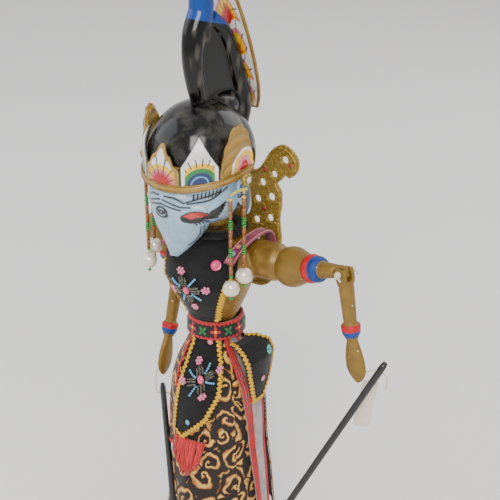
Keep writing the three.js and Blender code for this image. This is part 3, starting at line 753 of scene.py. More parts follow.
SASH_LEFT = hanging([(57, 73, 79, 84, 87), (97, 112, 112, 108, 106)], WAIST_Z, 26, (1.9, 3.2, 3.2, 3), 0.6, 3)
SASH_RIGHT = hanging([(-84, -80, -64, -58), (-32, -24, -12, -8)], WAIST_Z, (96, 97, 98), (1.9, 3.2, 3, 2.6), 0.6, 5)
APRON = hanging([(-18, -12, -16, -20), (46, 49, 44, 26)], WAIST_Z, (118, 112, 122, 132), (3.4, 4.4, 4.5, 4.5), 0.5, 3)
FRINGE = hanging([(-18, -18), (24, 22)], 112, (90, 79, 82, 97), (4.3, 3.8), 0.2, 3)
BACK_FLAP = hanging([(146, 138, 126, 122), (214, 222, 234, 238)], WAIST_Z, 28, (1.9, 3.2, 3.2, 3.2), 0.9, 9)
SIDE_RADIUS, SIDE_HEIGHT = (22, 30, 38.5, 41, 40, 38.4, 37), (185.6, 186.5, 183.5, 176, 165, 152, 141)


def side_place(u, v, lift):
    first, second = along((64, 66, 72, 84), v), along((112, 120, 124, 100), v)
    normal = Vector((along(SIDE_RADIUS, v + 0.02) - along(SIDE_RADIUS, v - 0.02),
                     along(SIDE_HEIGHT, v + 0.02) - along(SIDE_HEIGHT, v - 0.02)))
    normal = Vector((-normal.y, normal.x)).normalized() * (lift + 0.4)
    degrees = first + (second - first) * u
    return around(along(SIDE_RADIUS, v) + normal.x, degrees, along(SIDE_HEIGHT, v) + normal.y)


def make_skirt():
    skirt = make_sheet("skirt_cloth", skirt_place, 320, 90, 0.8, M["batik"], "skirt")
    sheet_area(skirt_place)
    hem = Bits()
    scallops(hem, skirt_place, [(0.012 + 0.976 * k / 150, 0.985) for k in range(151)], 1.1, RED, 0.3)
    hem.make("skirt_hem", M["ribbon"], "torso", "ribbon")


def sheet_area(place, steps=60):
    """Area of the outer face, in square metres."""
    total = 0.0
    for i in range(steps):
        for j in range(steps):
            a, b = place(i / steps, j / steps, 0), place((i + 1) / steps, j / steps, 0)
            c, d = place((i + 1) / steps, (j + 1) / steps, 0), place(i / steps, (j + 1) / steps, 0)
            total += ((b - a).cross(d - a).length + (b - c).cross(d - c).length) / 2
    return total * MM * MM


def declare_sheet(place):
    wide, tall = sheet_span(place)
    area = min(sheet_area(place), wide * tall * MM * MM)


def make_sashes():
    left = make_sheet("sash_left_cloth", SASH_LEFT, 40, 140, 0.9, M["mauve"], "sash_left")
    right = make_sheet("sash_right_cloth", SASH_RIGHT, 50, 90, 0.9, M["batik"], "sash_right")
    trim = Bits()
    scallops(trim, SASH_LEFT, line_path(0.03, 0.05, 0.02, 0.99, 110), 1.15, RED)
    scallops(trim, SASH_LEFT, line_path(0.97, 0.97, 0.02, 0.99, 110), 1.15, RED)
    scallops(trim, SASH_RIGHT, line_path(0.97, 0.97, 0.03, 0.98, 66), 1.15, RED)
    scallops(trim, SASH_RIGHT, line_path(0.03, 0.03, 0.03, 0.98, 66), 1.15, RED)
    scallops(trim, SASH_RIGHT, [(0.03 + 0.94 * k / 26, 0.985) for k in range(27)], 1.15, RED)
    for u in (0.055, 0.16, 0.265):
        trim.tube([SASH_LEFT(u + 0.02 * v, v, 0.3) for v in np.linspace(0.01, 0.99, 90)], 1.9, RED, 8, 0.35)
    edging = trim.make("sash_edging", M["ribbon"], "torso", "ribbon")
    declare_sheet(SASH_LEFT)
    declare_sheet(SASH_RIGHT)


def make_apron():
    apron = make_sheet("front_apron_cloth", APRON, 60, 90, 1.0, M["velvet"], "front_apron")
    braid, beads = Bits(), Bits()
    for path in (line_path(0.035, 0.035), line_path(0.965, 0.965), [(0.03 + 0.94 * k / 40, 0.985) for k in range(41)]):
        zigzag(braid, APRON, path, 1.2, 3.4, YELLOW_GOLD, 0.8, 1.05)
    bead_flower(beads, APRON, 0.52, 0.42, 10.5, turn=0.25)
    for u, v, tone in ((0.45, 0.84, SKY), (0.7, 0.1, ROSE)):
        sequin(beads, APRON, u, v, 2.0, tone)
    pieces = (braid.make("apron_braid", M["braid"], "torso", "gold_paint"),
              beads.make("apron_beads", M["beads"], "torso", "beads"))
    declare_sheet(APRON)


def make_fringe():
    """Two rows of yarns behind the apron's hem, drawn a little to one side."""
    yarn = Bits()
    for k in range(24):
        u = 0.03 + 0.94 * k / 23
        for row in (0, 1):
            jitter = RNG.normal(0, 0.03, 3)
            reach = 0.93 + RNG.uniform(-0.12, 0.06)
            points = [FRINGE(clamped(u + jitter[0] + t * (jitter[1] * 2 - 0.1)), t * reach,
                             -0.2 - 0.9 * row + 0.5 * math.sin(9 * t + k)) for t in np.linspace(0, 1, 12)]
            tone = blend(lin(0xa80e14), lin(0xd8242a), RNG.uniform())
            yarn.tube(points, list(np.linspace(0.85, 0.6, 12)), tone, 8)
    yarn.make("apron_fringe_yarn", M["ribbon"], "torso", "red_cloth", ("apron_fringe",))


def make_flaps():
    side = make_sheet("side_flap_cloth", side_place, 50, 60, 1.2, M["velvet"], "side_flap")
    braid, beads = Bits(), Bits()
    for path in (line_path(0.05, 0.07), line_path(0.95, 0.93), [(0.06 + 0.88 * k / 20, 0.975) for k in range(21)]):
        zigzag(braid, side_place, path, 1.2, 3.4, YELLOW_GOLD, 0.7, 1.05)
    sequin(beads, side_place, 0.68, 0.42, 3.4, lin(0x3fb6b0), lin(0x1f6f78))
    sequin(beads, side_place, 0.4, 0.72, 2.2, ROSE)
    pieces = (braid.make("side_flap_braid", M["braid"], "torso", "gold_paint"),
              beads.make("side_flap_beads", M["beads"], "torso", "beads"))
    declare_sheet(side_place)
    back = make_sheet("back_flap_cloth", BACK_FLAP, 110, 110, 1.0, M["maroon"], "back_flap")
    edge, dots = Bits(), Bits()
    for path in (line_path(0.02, 0.02, steps=90), line_path(0.98, 0.98, steps=90)):
        zigzag(edge, BACK_FLAP, path, 1.1, 3.4, GOLD, 0.7, 0.95)
    for row in range(8):
        for column in range(5):
            sequin(dots, BACK_FLAP, 0.14 + 0.18 * column + 0.05 * (row % 2), 0.12 + 0.11 * row, 1.8, YELLOW, AMBER)
    pieces = (edge.make("back_flap_braid", M["braid"], "torso", "gold_paint"),
              dots.make("back_flap_sequins", M["beads"], "torso", "beads"))
    declare_sheet(BACK_FLAP)


# ---- torso, bodice, belt, collar ----------------------------------------------------------------
def torso_section(z):
    for a, b in zip(TORSO, TORSO[1:]):
        if z <= b[0]:
            t = (z - a[0]) / (b[0] - a[0])
            return tuple(p + (q - p) * t for p, q in zip(a[1:], b[1:]))
    return TORSO[-1][1:]


def bodice_place(u, v, lift):
    z = 266 - 62 * v
    y, rx, ry = torso_section(z)
    a = math.radians(-180 + 360 * u)
    out = 3.6 + lift + 0.25 * math.sin(5 * a + 9 * v)
    if z < 207:
        out += 0.25 * (207 - z)
    return Vector(((rx + out) * math.sin(a), y - (ry + out) * math.cos(a), z))


def bodice_front(u, v, lift):
    """The front part of the bodice: 61 degrees each side of the middle at the top, and 44 at the waist."""
    return bodice_place(0.5 + (u - 0.5) * (122 - 34 * v) / 360, v, lift)


def make_torso():
    bits = Bits()
    turn = np.linspace(0, 2 * math.pi, 49)[:-1]
    sections = [(z, *torso_section(z)) for z in np.linspace(174.4, 268, 40)]
    bits.rings([[Vector((rx * math.sin(-a), y - ry * math.cos(a), z)) for a in turn]
                for z, y, rx, ry in sections], WHITE)
    for side in SIDES.values():
        start, stop = Vector((side * 12, 9, 248.6)), Vector((side * STUB_END_X, 12, 249.6))
        route = [start.lerp(stop, t) for t in np.linspace(0, 1, 24)]
        radii = [min(STUB_R, 9.4 + 3.7 * (STUB_END_X - abs(p.x)) / 7.5) for p in route]
        bits.tube(route, radii, WHITE, 40)
    carved(bits, "torso_carving", 0.8, 6, M["gold"], "torso", "gold_paint", ("torso",))


def make_bodice():
    place = bodice_front
    cloth = make_sheet("bodice_cloth", place, 90, 60, 1.4, M["velvet"], "bodice")
    beads, braid = Bits(), Bits()
    bead_flower(beads, place, 0.5, 0.57, 11, turn=0.3)
    for u in (0.23, 0.77):
        sequin(beads, place, u, 0.24, 3.8, lin(0xe0407c), lin(0xe88a1c))
    for u, step in ((0.03, 0.03), (0.97, -0.03)):
        for k in range(2):
            zigzag(braid, place, line_path(u + step * k, u + step * k, 0.36, 0.99), 1.2, 3.2, YELLOW_GOLD, 0.7, 0.85)
    pieces = (beads.make("bodice_beads", M["beads"], "torso", "beads"),
              braid.make("bodice_braid", M["braid"], "torso", "gold_paint"))
    declare_sheet(place)


def make_collar():
    """Gathered black ruff round the neck."""
    def place(u, v, lift):
        a = 2 * math.pi * u
        ring = 2 * math.pi * v
        gather = 0.55 * math.sin(36 * a) * (0.6 + 0.4 * math.sin(ring))
        r = 18 + 4.4 * math.cos(ring) + gather
        z = 268.4 + (2.4 + 0.25 * gather) * math.sin(ring) - 0.06 * (r - 14)
        return Vector((r * math.sin(a), 1.5 - r * math.cos(a), z))
    across, down = 324, 24
    points = [place(i / across, j / down, 0) for j in range(down) for i in range(across)]
    faces = [(j * across + i, j * across + (i + 1) % across, (j + 1) % down * across + (i + 1) % across,
              (j + 1) % down * across + i) for j in range(down) for i in range(across)]
    add_object("collar_ruff", points, faces, M["black"], "torso", replaces=("collar",))


def belt_colour(u, v):
    """Woven ribbon: red waves on each edge, red and yellow flowers and green crosses by turns."""
    wave = 0.13 + 0.05 * math.sin(2 * math.pi * 40 * u)
    if v < wave or v > 1 - wave:
        return RED
    cell = u * 14 % 1
    dx, dy = (cell - 0.5) * 9, (v - 0.5) * 11
    r, a = math.hypot(dx, dy), math.atan2(dy, dx)
    if int(u * 14) % 2:
        petal = abs(math.cos(2 * a)) * 3.6
        return YELLOW if r < 0.9 else RED if r < petal else BLACK
    cross = abs(math.sin(2 * a)) ** 2 * 3.6
    return GREEN if r < cross else BLACK


def make_belt():
    def place(u, v, lift):
        a = 360 * u
        tuck = 1.5 * ease((0.5 - v) * 2)
        return around(21.3 - tuck + lift + 0.12 * math.sin(9 * math.radians(a)), a, 202.2 - 12.4 * v)
    points, faces, colours, uvs = sheet_mesh(place, 420, 36, 1.8, closed=True, colour=belt_colour,
                                             flat=lambda u, v: (u * 134, v * 12))
    add_object("belt_ribbon", points, faces, M["ribbon"], "torso", colours, uvs, ("belt",))


# ---- gilt back plate and its straps --------------------------------------------------------------
PRABA_OUTLINE = [(0, 214), (18, 216), (28, 226), (32, 240), (33, 256), (31.5, 270), (33, 281), (32.5, 291), (29, 297),
                 (33, 301), (38, 306), (42, 305), (46, 309), (46.5, 316), (42, 322), (34, 325), (26, 321), (20, 312),
                 (13, 304), (0, 300)]
PRABA_HOLES = [(36, 315, 3), (27, 303, 2.8), (17, 295, 3), (25, 286, 3.2), (13, 282, 3), (24, 270, 3),
               (12, 266, 3), (25, 256, 2.8), (13, 250, 3), (15, 236, 3)]


def pressed_plate(name, outline, holes, y_front, thickness, material, body, node):
    """Flat plate cut from an outline in (x, z), pierced, with rounded edges."""
    bevel = 0.35
    curve = bpy.data.curves.new(name, "CURVE")
    curve.dimensions = "2D"
    curve.fill_mode = "BOTH"
    curve.extrude = (thickness / 2 - bevel) * MM
    curve.bevel_depth = bevel * MM
    curve.bevel_resolution = 2
    loops = [outline] + [[(x + r * math.cos(a), z + r * math.sin(a)) for a in np.linspace(0, 2 * math.pi, 19)[:-1]]
                         for x, z, r in holes]
    for loop in loops:
        spline = curve.splines.new("POLY")
        spline.points.add(len(loop) - 1)
        for point, (x, z) in zip(spline.points, loop):
            point.co = (x * MM, z * MM, 0, 1)
        spline.use_cyclic_u = True
    holder = bpy.data.objects.new(name + "_curve", curve)
    bpy.context.collection.objects.link(holder)
    mesh = bpy.data.meshes.new_from_object(holder.evaluated_get(bpy.context.evaluated_depsgraph_get()))
    bpy.data.objects.remove(holder)
    upright = Matrix(((1, 0, 0, 0), (0, 0, -1, (y_front + thickness / 2) * MM), (0, 1, 0, 0), (0, 0, 0, 1)))
    mesh.transform(upright)
    mesh.materials.clear()
    mesh.materials.append(material)
    piece = bpy.data.objects.new(name, mesh)
    bpy.context.collection.objects.link(piece)
    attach(piece, body)
    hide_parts(node)
    mesh.polygons.foreach_set("use_smooth", [True] * len(mesh.polygons))
    return sharpen(piece, 40)


def mirrored(points):
    return [*points, *[(-x, z) for x, z in points[-2:0:-1]]]


def make_praba():
    edge = smooth_route([(x, z, 0) for x, z in PRABA_OUTLINE], 5)
    holes = PRABA_HOLES + [(-x, z, r) for x, z, r in PRABA_HOLES]
    outline = mirrored([(p.x, p.y) for p in edge])
    pressed_plate("praba_plate", outline, holes, 32, 2, M["gilt"], "torso", "praba")
    relief, gems = Bits(), Bits()
    for side in (1, -1):
        for y in (31.95, 34.05):
            rim = [Vector((side * (p.x * 0.955 + 0.2), y, 214 + (p.y - 214) * 0.965 + 2)) for p in edge]
            relief.tube(rim, 0.8, GOLD, 8)
            for x, z, r in PRABA_HOLES:
                ring = [Vector((side * (x + (r + 0.9) * math.cos(a)), y, z + (r + 0.9) * math.sin(a)))
                        for a in np.linspace(0.5, 0.5 + 1.7 * math.pi, 18)]
                curl = ring[-1] + Vector((side * r * 0.8, 0, -r * 0.6))
                relief.tube([*ring, curl], 0.65, GOLD, 7)
        for x, z in ((40.5, 312), (19, 305), (19, 276), (19, 243)):
            gems.ball((side * x, 31.9, z), (1.7, 0.8, 1.7), lin(0x9c2436), 12, 7)
    for k in range(9):
        gems.ball((0, 31.6, 222 + 7 * k), (1.5, 0.9, 1.5), lin(0x9c2436) if k % 2 else SKY, 12, 7)
    relief.make("praba_relief", M["gilt"], "torso", "gilt_leather")
    gems.make("praba_gems", M["beads"], "torso", "beads")


STRAP = [(27, 29.8, 246), (27.5, 29, 256), (28.5, 22, 265.2), (29, 8, 266.6), (28.5, -7, 262.6), (28, -19.5, 254)]


def make_straps():
    for name, side in SIDES.items():
        route = smooth_route(STRAP, 8)
        route = [Vector((side * p.x, p.y, p.z)) for p in route]
        count = len(route) - 1

        def place(u, v, lift, route=route, side=side, count=count):
            s = v * count
            i = min(int(s), count - 1)
            spot = route[i].lerp(route[i + 1], s - i)
            tangent = (route[i + 1] - route[i]).normalized()
            across = Vector((1, 0, 0))
            out = across.cross(tangent)
            out = out if out.dot(Vector((0, 0, 1))) > 0 or i < 4 else -out
            return spot + across * ((u - 0.5) * 8) + out.normalized() * (0.6 + lift)
        bits, glint = Bits(), Bits()
        make_sheet(f"praba_strap_cloth_{name}", place, 10, 60, 1.2, M["pink"], f"praba_strap_{name}")
        for u in (0.08, 0.92):
            bits.tube([place(u, v, 0.1) for v in np.linspace(0.02, 0.98, 50)], 0.35, PINK, 6)
        for v in (0.82, 0.9, 0.97):
            sequin(glint, place, 0.5, v, 1.9, (SKY, ROSE, LIME)[int(v * 100) % 3], YELLOW, 0.5)
        bits.make(f"strap_piping_{name}", M["ribbon"], "torso", "red_cloth")
        glint.make(f"strap_sequins_{name}", M["beads"], "torso", "beads")


# ---- head -----------------------------------------------------------------------------------------
def head_spots(points):
    """Arc and height coordinates on the front of the face, in millimetres."""
    angle = np.arctan2(points[:, 0], SKULL_CENTRE_Y - points[:, 1])
    return np.c_[angle * 33, points[:, 2]]


def mirror_lines(lines):
    return [[(-x, z) for x, z in line] for line in lines]


FACE_LINES = {
    "brow": [[(14, 303.5), (20, 305), (27, 306.6), (35, 309)], [(15, 302.4), (24, 303.4), (31, 305.6), (40, 311)]],
    "lid": [[(14, 292.4), (17, 294), (21, 294.4), (24, 293.4)]],
    "eye": [[(12.6, 292), (16, 289.8), (21, 289.6), (25, 291.6), (28, 292.4)]],
    "mouth": [[(12, 270), (17, 273), (21, 278), (22, 284)], [(14, 268.4), (20, 272), (24, 278), (24.4, 284.6)]],
    "cheek": [[(31, 285), (34, 287.6), (38.6, 287), (36, 284), (31, 285)], [(33, 285.6), (37, 286.4)]],
    "forehead": [[(1, 304), (6, 302.4), (11, 300.4), (16, 300)], [(0, 301.4), (6, 299.6), (11, 298.2)],
                 [(2, 306.6), (8, 306), (13, 303)]],
    "sideburn": [[(56, 314), (55, 305), (52, 297), (49, 290)]],
}
LASHES = [[(26 + 0.5 * k, 290.6 + 1.1 * k), (33.5 + 0.9 * k, 291 + 2.1 * k)] for k in range(6)]
UNDER_LASHES = [[(18 + 2 * k, 289), (19.4 + 2.4 * k, 286.4)] for k in range(5)]
BROW_TICKS = [[(18 + k * 2.3, 304.6 + 0.35 * k), (18.4 + k * 2.4, 308 + 0.4 * k)] for k in range(8)]


def paint_face(piece):
    points = vertices_of(piece)
    spots = head_spots(points)
    colours = np.tile(np.array(SKIN), (len(points), 1))
    front = points[:, 1] < -6
    # Painted shade: the face paint is darker towards the chin and lighter towards the crown, as if lit from above.
    painted_light_by_height = np.clip((points[:, 2] - 262) / 90, 0, 1)[:, None]
    colours = colours * (0.86 + 0.2 * painted_light_by_height)

    def stroke(lines, width, tone):
        for line in [*lines, *mirror_lines(lines)]:
            cover = (stroke_cover(spots, curve_2d(line), width, 0.5) * front)[:, None]
            colours[:] = colours * (1 - cover) + np.array(tone) * cover
    stroke(FACE_LINES["lid"], 6.2, BLACK)
    stroke(FACE_LINES["lid"], 4.2, lin(0xc43a34))
    stroke(FACE_LINES["cheek"], 0.8, lin(0x7d8f9c))
    stroke(FACE_LINES["mouth"], 0.7, lin(0x4a5560))
    stroke(FACE_LINES["brow"] + FACE_LINES["forehead"] + BROW_TICKS, 0.75, BLACK)
    stroke(FACE_LINES["eye"], 2.7, BLACK)
    stroke(LASHES, 1.2, BLACK)
    stroke(UNDER_LASHES, 0.6, BLACK)
    stroke(FACE_LINES["sideburn"], 7.5, BLACK)
    swirl = [(0.9 * t * math.cos(2.4 * t), 296 + 0.9 * t * math.sin(2.4 * t)) for t in np.linspace(0.4, 5, 30)]
    stroke([swirl], 0.7, BLACK)
    neck = points[:, 2] < 276
    neck &= np.hypot(points[:, 0], points[:, 1]) < 11
    colours[neck] = GOLD
    paint_vertices(piece, colours)


def make_head():
    bits = Bits()
    bits.ball((0, -14, 316), (33, 34.4, 38), WHITE, 48, 32)
    bits.ball((0, -17, 300), (33.4, 31, 21), WHITE, 48, 32)
    beak = smooth_route([(0, -24, 312), (0, -30, 300), (0, -32.5, 288), (0, -35, 278), (0, -38, 269),
                         (0, -42, 260.5)], 8)
    radii = np.interp(range(len(beak)), [0, 8, 16, 24, 32, 40], [20, 23.5, 20.5, 16, 9.5, 2.6])
    bits.tube(beak, list(radii), WHITE, 48)
    bits.tube([Vector((0, 0, z)) for z in (271.4, 280, 296)], 9.5, WHITE, 32)
    for side in (1, -1):
        ear = Matrix.Rotation(0.3, 3, "X") @ Matrix.Rotation(side * 0.22, 3, "Z")
        bits.ball((side * 34.8, -11, 304), (2.6, 7.6, 16.5), WHITE, 28, 20, ear)
        brow = smooth_route([(side * 9, -45.5, 296), (side * 16, -42.5, 298.5), (side * 24, -36, 297)], 6)
        bits.tube(brow, 3.4, WHITE, 16)
    piece = carved(bits, "head_carving", 0.55, 14, M["skin"], "head", "face_paint", ("head",))
    paint_face(piece)
    curls = Bits()
    for side in (1, -1):
        for k, (dy, dz) in enumerate(((0, 5.5), (-3, 0), (1.5, -3))):
            turn = np.linspace(0.2, 4.4, 18)
            points = [Vector((side * (37.6 + 0.15 * t), -17 + dy + 0.62 * t * math.cos(1.5 * t + k),
                              306 + dz + 0.62 * t * math.sin(1.5 * t + k))) for t in turn]
            curls.tube(points, 0.45, NAVY, 6)
    curls.make("ear_lines", M["enamel"], "head", "face_paint")


def make_hair():
    """Lacquered cap over the top and back of the skull, ending in a rim along a slanted line."""
    tilt = Matrix.Rotation(-0.36, 3, "X")
    seat = Vector((0, -14, 312))
    bits, rings = Bits(), []
    inward = tilt.inverted()
    for shell in (1, 0):
        grow = 0 if shell else -1.6
        layer = []
        for b in np.linspace(0, 1, 40):
            ring = []
            for a in np.linspace(0, 2 * math.pi, 97)[:-1]:
                ring.append(cap_point(a, b, grow, seat, inward))
            layer.append(ring)
        rings += layer if shell else layer[::-1]
    bits.rings(rings, BLACK)
    add_object("hair_lacquer", bits.points, bits.faces, M["lacquer"], "head", replaces=("hair_cap",))
    rim = [cap_point(a, 0.985, 0.5, seat, inward) for a in np.linspace(0, 2 * math.pi, 121)]
    edge = Bits()
    edge.tube(rim, 1.1, GOLD, 8)
    edge.make("hair_rim", M["gold"], "head", "gold_paint")


def cap_surface(radii, a, b):
    """Point of an ellipsoid round the hair's centre: a round from the front, b down from the crown."""
    return HAIR_C + Vector((radii.x * math.sin(b) * math.sin(a), -radii.y * math.sin(b) * math.cos(a),
                            radii.z * math.cos(b)))


def cap_point(a, b, grow, seat, inward):
    """Point of the cap: b is 0 at the crown and 1 on the slanted rim."""
    radii = HAIR_R + Vector((grow,) * 3)
    low, high = 0.0, math.pi
    for _ in range(26):
        mid = (low + high) / 2
        above = (inward @ (cap_surface(radii, a, mid) - seat)).z > 0
        low, high = (mid, high) if above else (low, mid)
    return cap_surface(radii, a, max(low * b, 0.002))


LOOP_FRONT = [(-12, 356), (-17, 372), (-19, 388), (-17, 403), (-11, 414)]
LOOP_RIM = [(22, 336), (27.5, 348), (27, 360), (21.5, 376), (16, 391), (8.5, 403), (-2, 412)]
LOOP_KNOT = [(-13, 400), (-10, 418), (-10, 434), (-13, 445)]


def upright(points):
    return smooth_route([(0, y, z) for y, z in points], 6)


def make_hair_loop():
    """High looped hair: a flat web between two rolls, and a knot with a painted band."""
    bits = Bits()
    bits.tube(upright(LOOP_FRONT), list(np.linspace(5.4, 8.6, 25)), WHITE, 24)
    bits.tube(upright(LOOP_RIM), list(np.linspace(9.5, 5.6, 37)), WHITE, 24)
    bits.ball((0, 6, 352), (10, 20, 11), WHITE, 32, 20)
    bits.tube(upright(LOOP_KNOT), 8, WHITE, 28)
    bits.ball((0, -13, 446), 8.2, WHITE, 28, 18)
    front, back = upright(LOOP_FRONT), upright(LOOP_RIM)
    count = 12
    web = []
    for k in range(count):
        a = front[int(k * (len(front) - 1) / (count - 1))]
        b = back[int(k * (len(back) - 1) / (count - 1))]
        half = Vector((2.4, 0, 0))
        web.append([a - half, b - half, b + half, a + half])
    bits.rings(web, WHITE)
    piece = carved(bits, "hair_loop_carving", 0.7, 8, M["gloss"], "head", "black_gloss", ("hair_loop",))
    points = vertices_of(piece)
    colours = np.tile(np.array(lin(0x060606)), (len(points), 1))
    y, z = points[:, 1], points[:, 2]
    patches = np.sin(z * 0.22 + y * 0.3) * np.sin(y * 0.5 - z * 0.13 + points[:, 0] * 0.6)
    dust = np.clip(patches, 0, 1)[:, None] * 0.14
    colours += dust * np.array(lin(0xb8ae98)) * (np.abs(points[:, :1]) > 3.2)
    edge = 411 - 0.25 * (y + 10)
    colours[(z > edge - 6) & (z <= edge)] = lin(0x030303)
    colours[(z > edge) & (z < 441)] = BLUE
    paint_vertices(piece, colours)
    trim = Bits()
    ring = [Vector((8.1 * math.cos(a), -11 + 8.1 * math.sin(a), 441 + 0.15 * math.sin(a)))
            for a in np.linspace(0, 2 * math.pi, 49)]
    trim.tube(ring, 0.9, GOLD, 8)
    trim.make("hair_loop_trim", M["gold"], "head", "gold_paint")


CREST = [(5, 0), (9, 10), (12, 26), (13, 48), (12, 72), (8, 98), (3, 114), (0, 121)]


def crest_matrix():
    return Matrix.Translation(Vector((0, 41.6, 345))) @ Matrix.Rotation(math.atan(0.38), 4, "X")


def make_crest():
    """Tall leaf behind the hair, painted with rows of petals inside a white edge, with a gilt rim."""
    edge = smooth_route([(x, z, 0) for x, z in CREST], 6)
    place_at = crest_matrix()

    def width_at(z):
        for a, b in zip(edge, edge[1:]):
            if z <= b.y:
                return a.x + (b.x - a.x) * (z - a.y) / max(b.y - a.y, 1e-6)
        return 0.0

    def place(u, v, lift):
        z = 121 * (1 - v)
        return place_at @ Vector((max(width_at(z), 0.25) * (2 * u - 1), -lift - 1, z))

    def colour(u, v):
        z = 121 * (1 - v)
        w = max(width_at(z), 0.3)
        inset = w * (1 - abs(2 * u - 1))
        if inset < 2.2 or z > 117:
            return WHITE
        x = (2 * u - 1) * w
        wave = z + 2.2 * math.sin(z * 0.13 + x * 0.4)
        t = wave % 22 / 22
        d = math.hypot(x / (0.85 * w), (t - 0.12) / 0.82)
        stripe = abs(math.sin(math.atan2(t - 0.1, x / w) * 6)) < 0.16
        if stripe and d > 0.3:
            return BLACK
        return RED if d < 0.36 else lin(0xd9661c) if d < 0.5 else YELLOW if d < 0.76 else PINK if d < 0.9 else WHITE
    points, faces, colours, _ = sheet_mesh(place, 48, 220, 2.0, colour=colour)
    sharpen(add_object("crest_leaf", points, faces, M["enamel"], "head", colours,
                       replaces=("crest_plate",)))
    rim = Bits()
    for side in (1, -1):
        rim.tube([place_at @ Vector((side * p.x, 0, p.y)) for p in edge], 1.25, GOLD, 8)
    rim.tube([place_at @ Vector((x, 0, 0.3)) for x in (-5, 0, 5)], 1.25, GOLD, 8)
    rim.make("crest_rim", M["gold"], "head", "gold_paint")


TIARA_HALF = 98
RIM_H = 4.2
PANEL_TOPS = {"leaf": (323, 341), "panel": (327, 347), "crest": (324, 353)}


def tiara_parts(u):
    """Which kind of panel a place on the tiara is in, and how far across it, from -1 to 1."""
    degrees = -TIARA_HALF + 2 * TIARA_HALF * u
    step = 2 * TIARA_HALF / 10
    if abs(degrees) < step * 1.05:
        return "leaf", degrees / (step * 1.05)
    if abs(degrees) < 3 * step:
        return "panel", (abs(degrees) - 2.025 * step) / (step * 0.975)
    return "crest", (abs(degrees) - 4 * step) / step


def tiara_bottom(u):
    return 310 + 9 * (1 - math.cos(math.radians(-TIARA_HALF + 2 * TIARA_HALF * u)))


def tiara_top(u):
    """Roof shapes on the painted panels, wavy arches on the gilt ones."""
    kind, across = tiara_parts(u)
    low, high = PANEL_TOPS[kind]
    rise = 1 - abs(across)
    if kind == "crest":
        return low + (high - low) * (1 - abs(across) ** 2.2) + 0.6 * math.sin(14 * across)
    return low + (high - low) * rise + (0.8 * math.sin(16 * rise) if kind == "leaf" else 0)


def tiara_place(u, v, lift):
    kind, across = tiara_parts(u)
    bottom, top = tiara_bottom(u), tiara_top(u)
    z = top + (bottom - top) * v
    inset = min((top - z) * 0.8, (1 - abs(across)) * 11)
    if z - bottom < RIM_H:
        lift += 0.9 * math.sin(math.pi * (z - bottom) / RIM_H)
    elif kind == "crest":
        lift += 1.0 * ease((2.6 - inset) / 1.6) + 0.35 * math.sin((z - bottom) * 0.9 + 5 * across * across)
    elif inset < 2.4:
        lift += 0.7
    a = math.radians(-TIARA_HALF + 2 * TIARA_HALF * u)
    dome = math.sqrt(max(1 - (max(z - HAIR_C.z, 0) / (HAIR_R.z + 3.2)) ** 2, 0.3))
    slope = 1 - (1 - dome) * (1 - ease((abs(-TIARA_HALF + 2 * TIARA_HALF * u) - 52) / 14))
    return Vector(((HAIR_R.x + 3.2 + lift) * math.sin(a) * slope,
                   HAIR_C.y - (HAIR_R.y + 3.2 + lift) * math.cos(a) * slope, z))


def tiara_colour(u, v):
    kind, across = tiara_parts(u)
    bottom, top = tiara_bottom(u), tiara_top(u)
    z = (top - bottom) * (1 - v)
    if z < RIM_H:
        return GOLD
    if kind == "crest":
        r = math.hypot((across - 0.35) * 12, (z - RIM_H - 2) * 0.75)
        if r > 9 or across < -0.45:
            return blend(GOLD, GOLD_DARK, 0.2 + 0.2 * math.sin(z * 0.9 + 5 * across * across))
        return RED if r < 3 else PINK if r < 5.4 else YELLOW if r < 7.6 else WHITE
    inset = min((top - bottom - z) * 0.8, (1 - abs(across)) * 11)
    x, y = across * 13, z - RIM_H
    r, a = math.hypot(x, y), math.atan2(y, x)
    if kind == "panel":
        if inset < 1.2:
            return BLACK
        if inset < 3:
            return WHITE
        tone = NAVY if r < 5 else SKY if r < 5.9 else NAVY if r < 8.2 else GREEN if r < 11 else YELLOW if r < 14 else WHITE
        tick = abs(math.sin(a * 11)) < 0.28 and 12 < r < 17
        return BLACK if tick else tone
    if inset < 2.4:
        return GOLD
    tone = RED if r < 6 else blend(RED, PINK, (r - 6) / 4) if r < 10 else YELLOW if r < 13 else WHITE
    tick = abs(math.sin(a * 7)) < 0.22 and r > 3
    return BLACK if tick else tone


def make_tiara():
    points, faces, colours, _ = sheet_mesh(tiara_place, 560, 80, 1.8, colour=tiara_colour)
    add_object("tiara_panels", points, faces, M["enamel"], "head", colours, replaces=("tiara",))
    rim = Bits()
    rim.tube([tiara_place(u, 1, 0.2) + Vector((0, 0, 0.8)) for u in np.linspace(0, 1, 150)], 1.1, GOLD, 8)
    rim.tube([tiara_place(u, 1, 0.2) + Vector((0, 0, RIM_H)) for u in np.linspace(0, 1, 150)], 0.8, GOLD, 8)
    rim.make("tiara_rim", M["gold"], "head", "gold_paint")


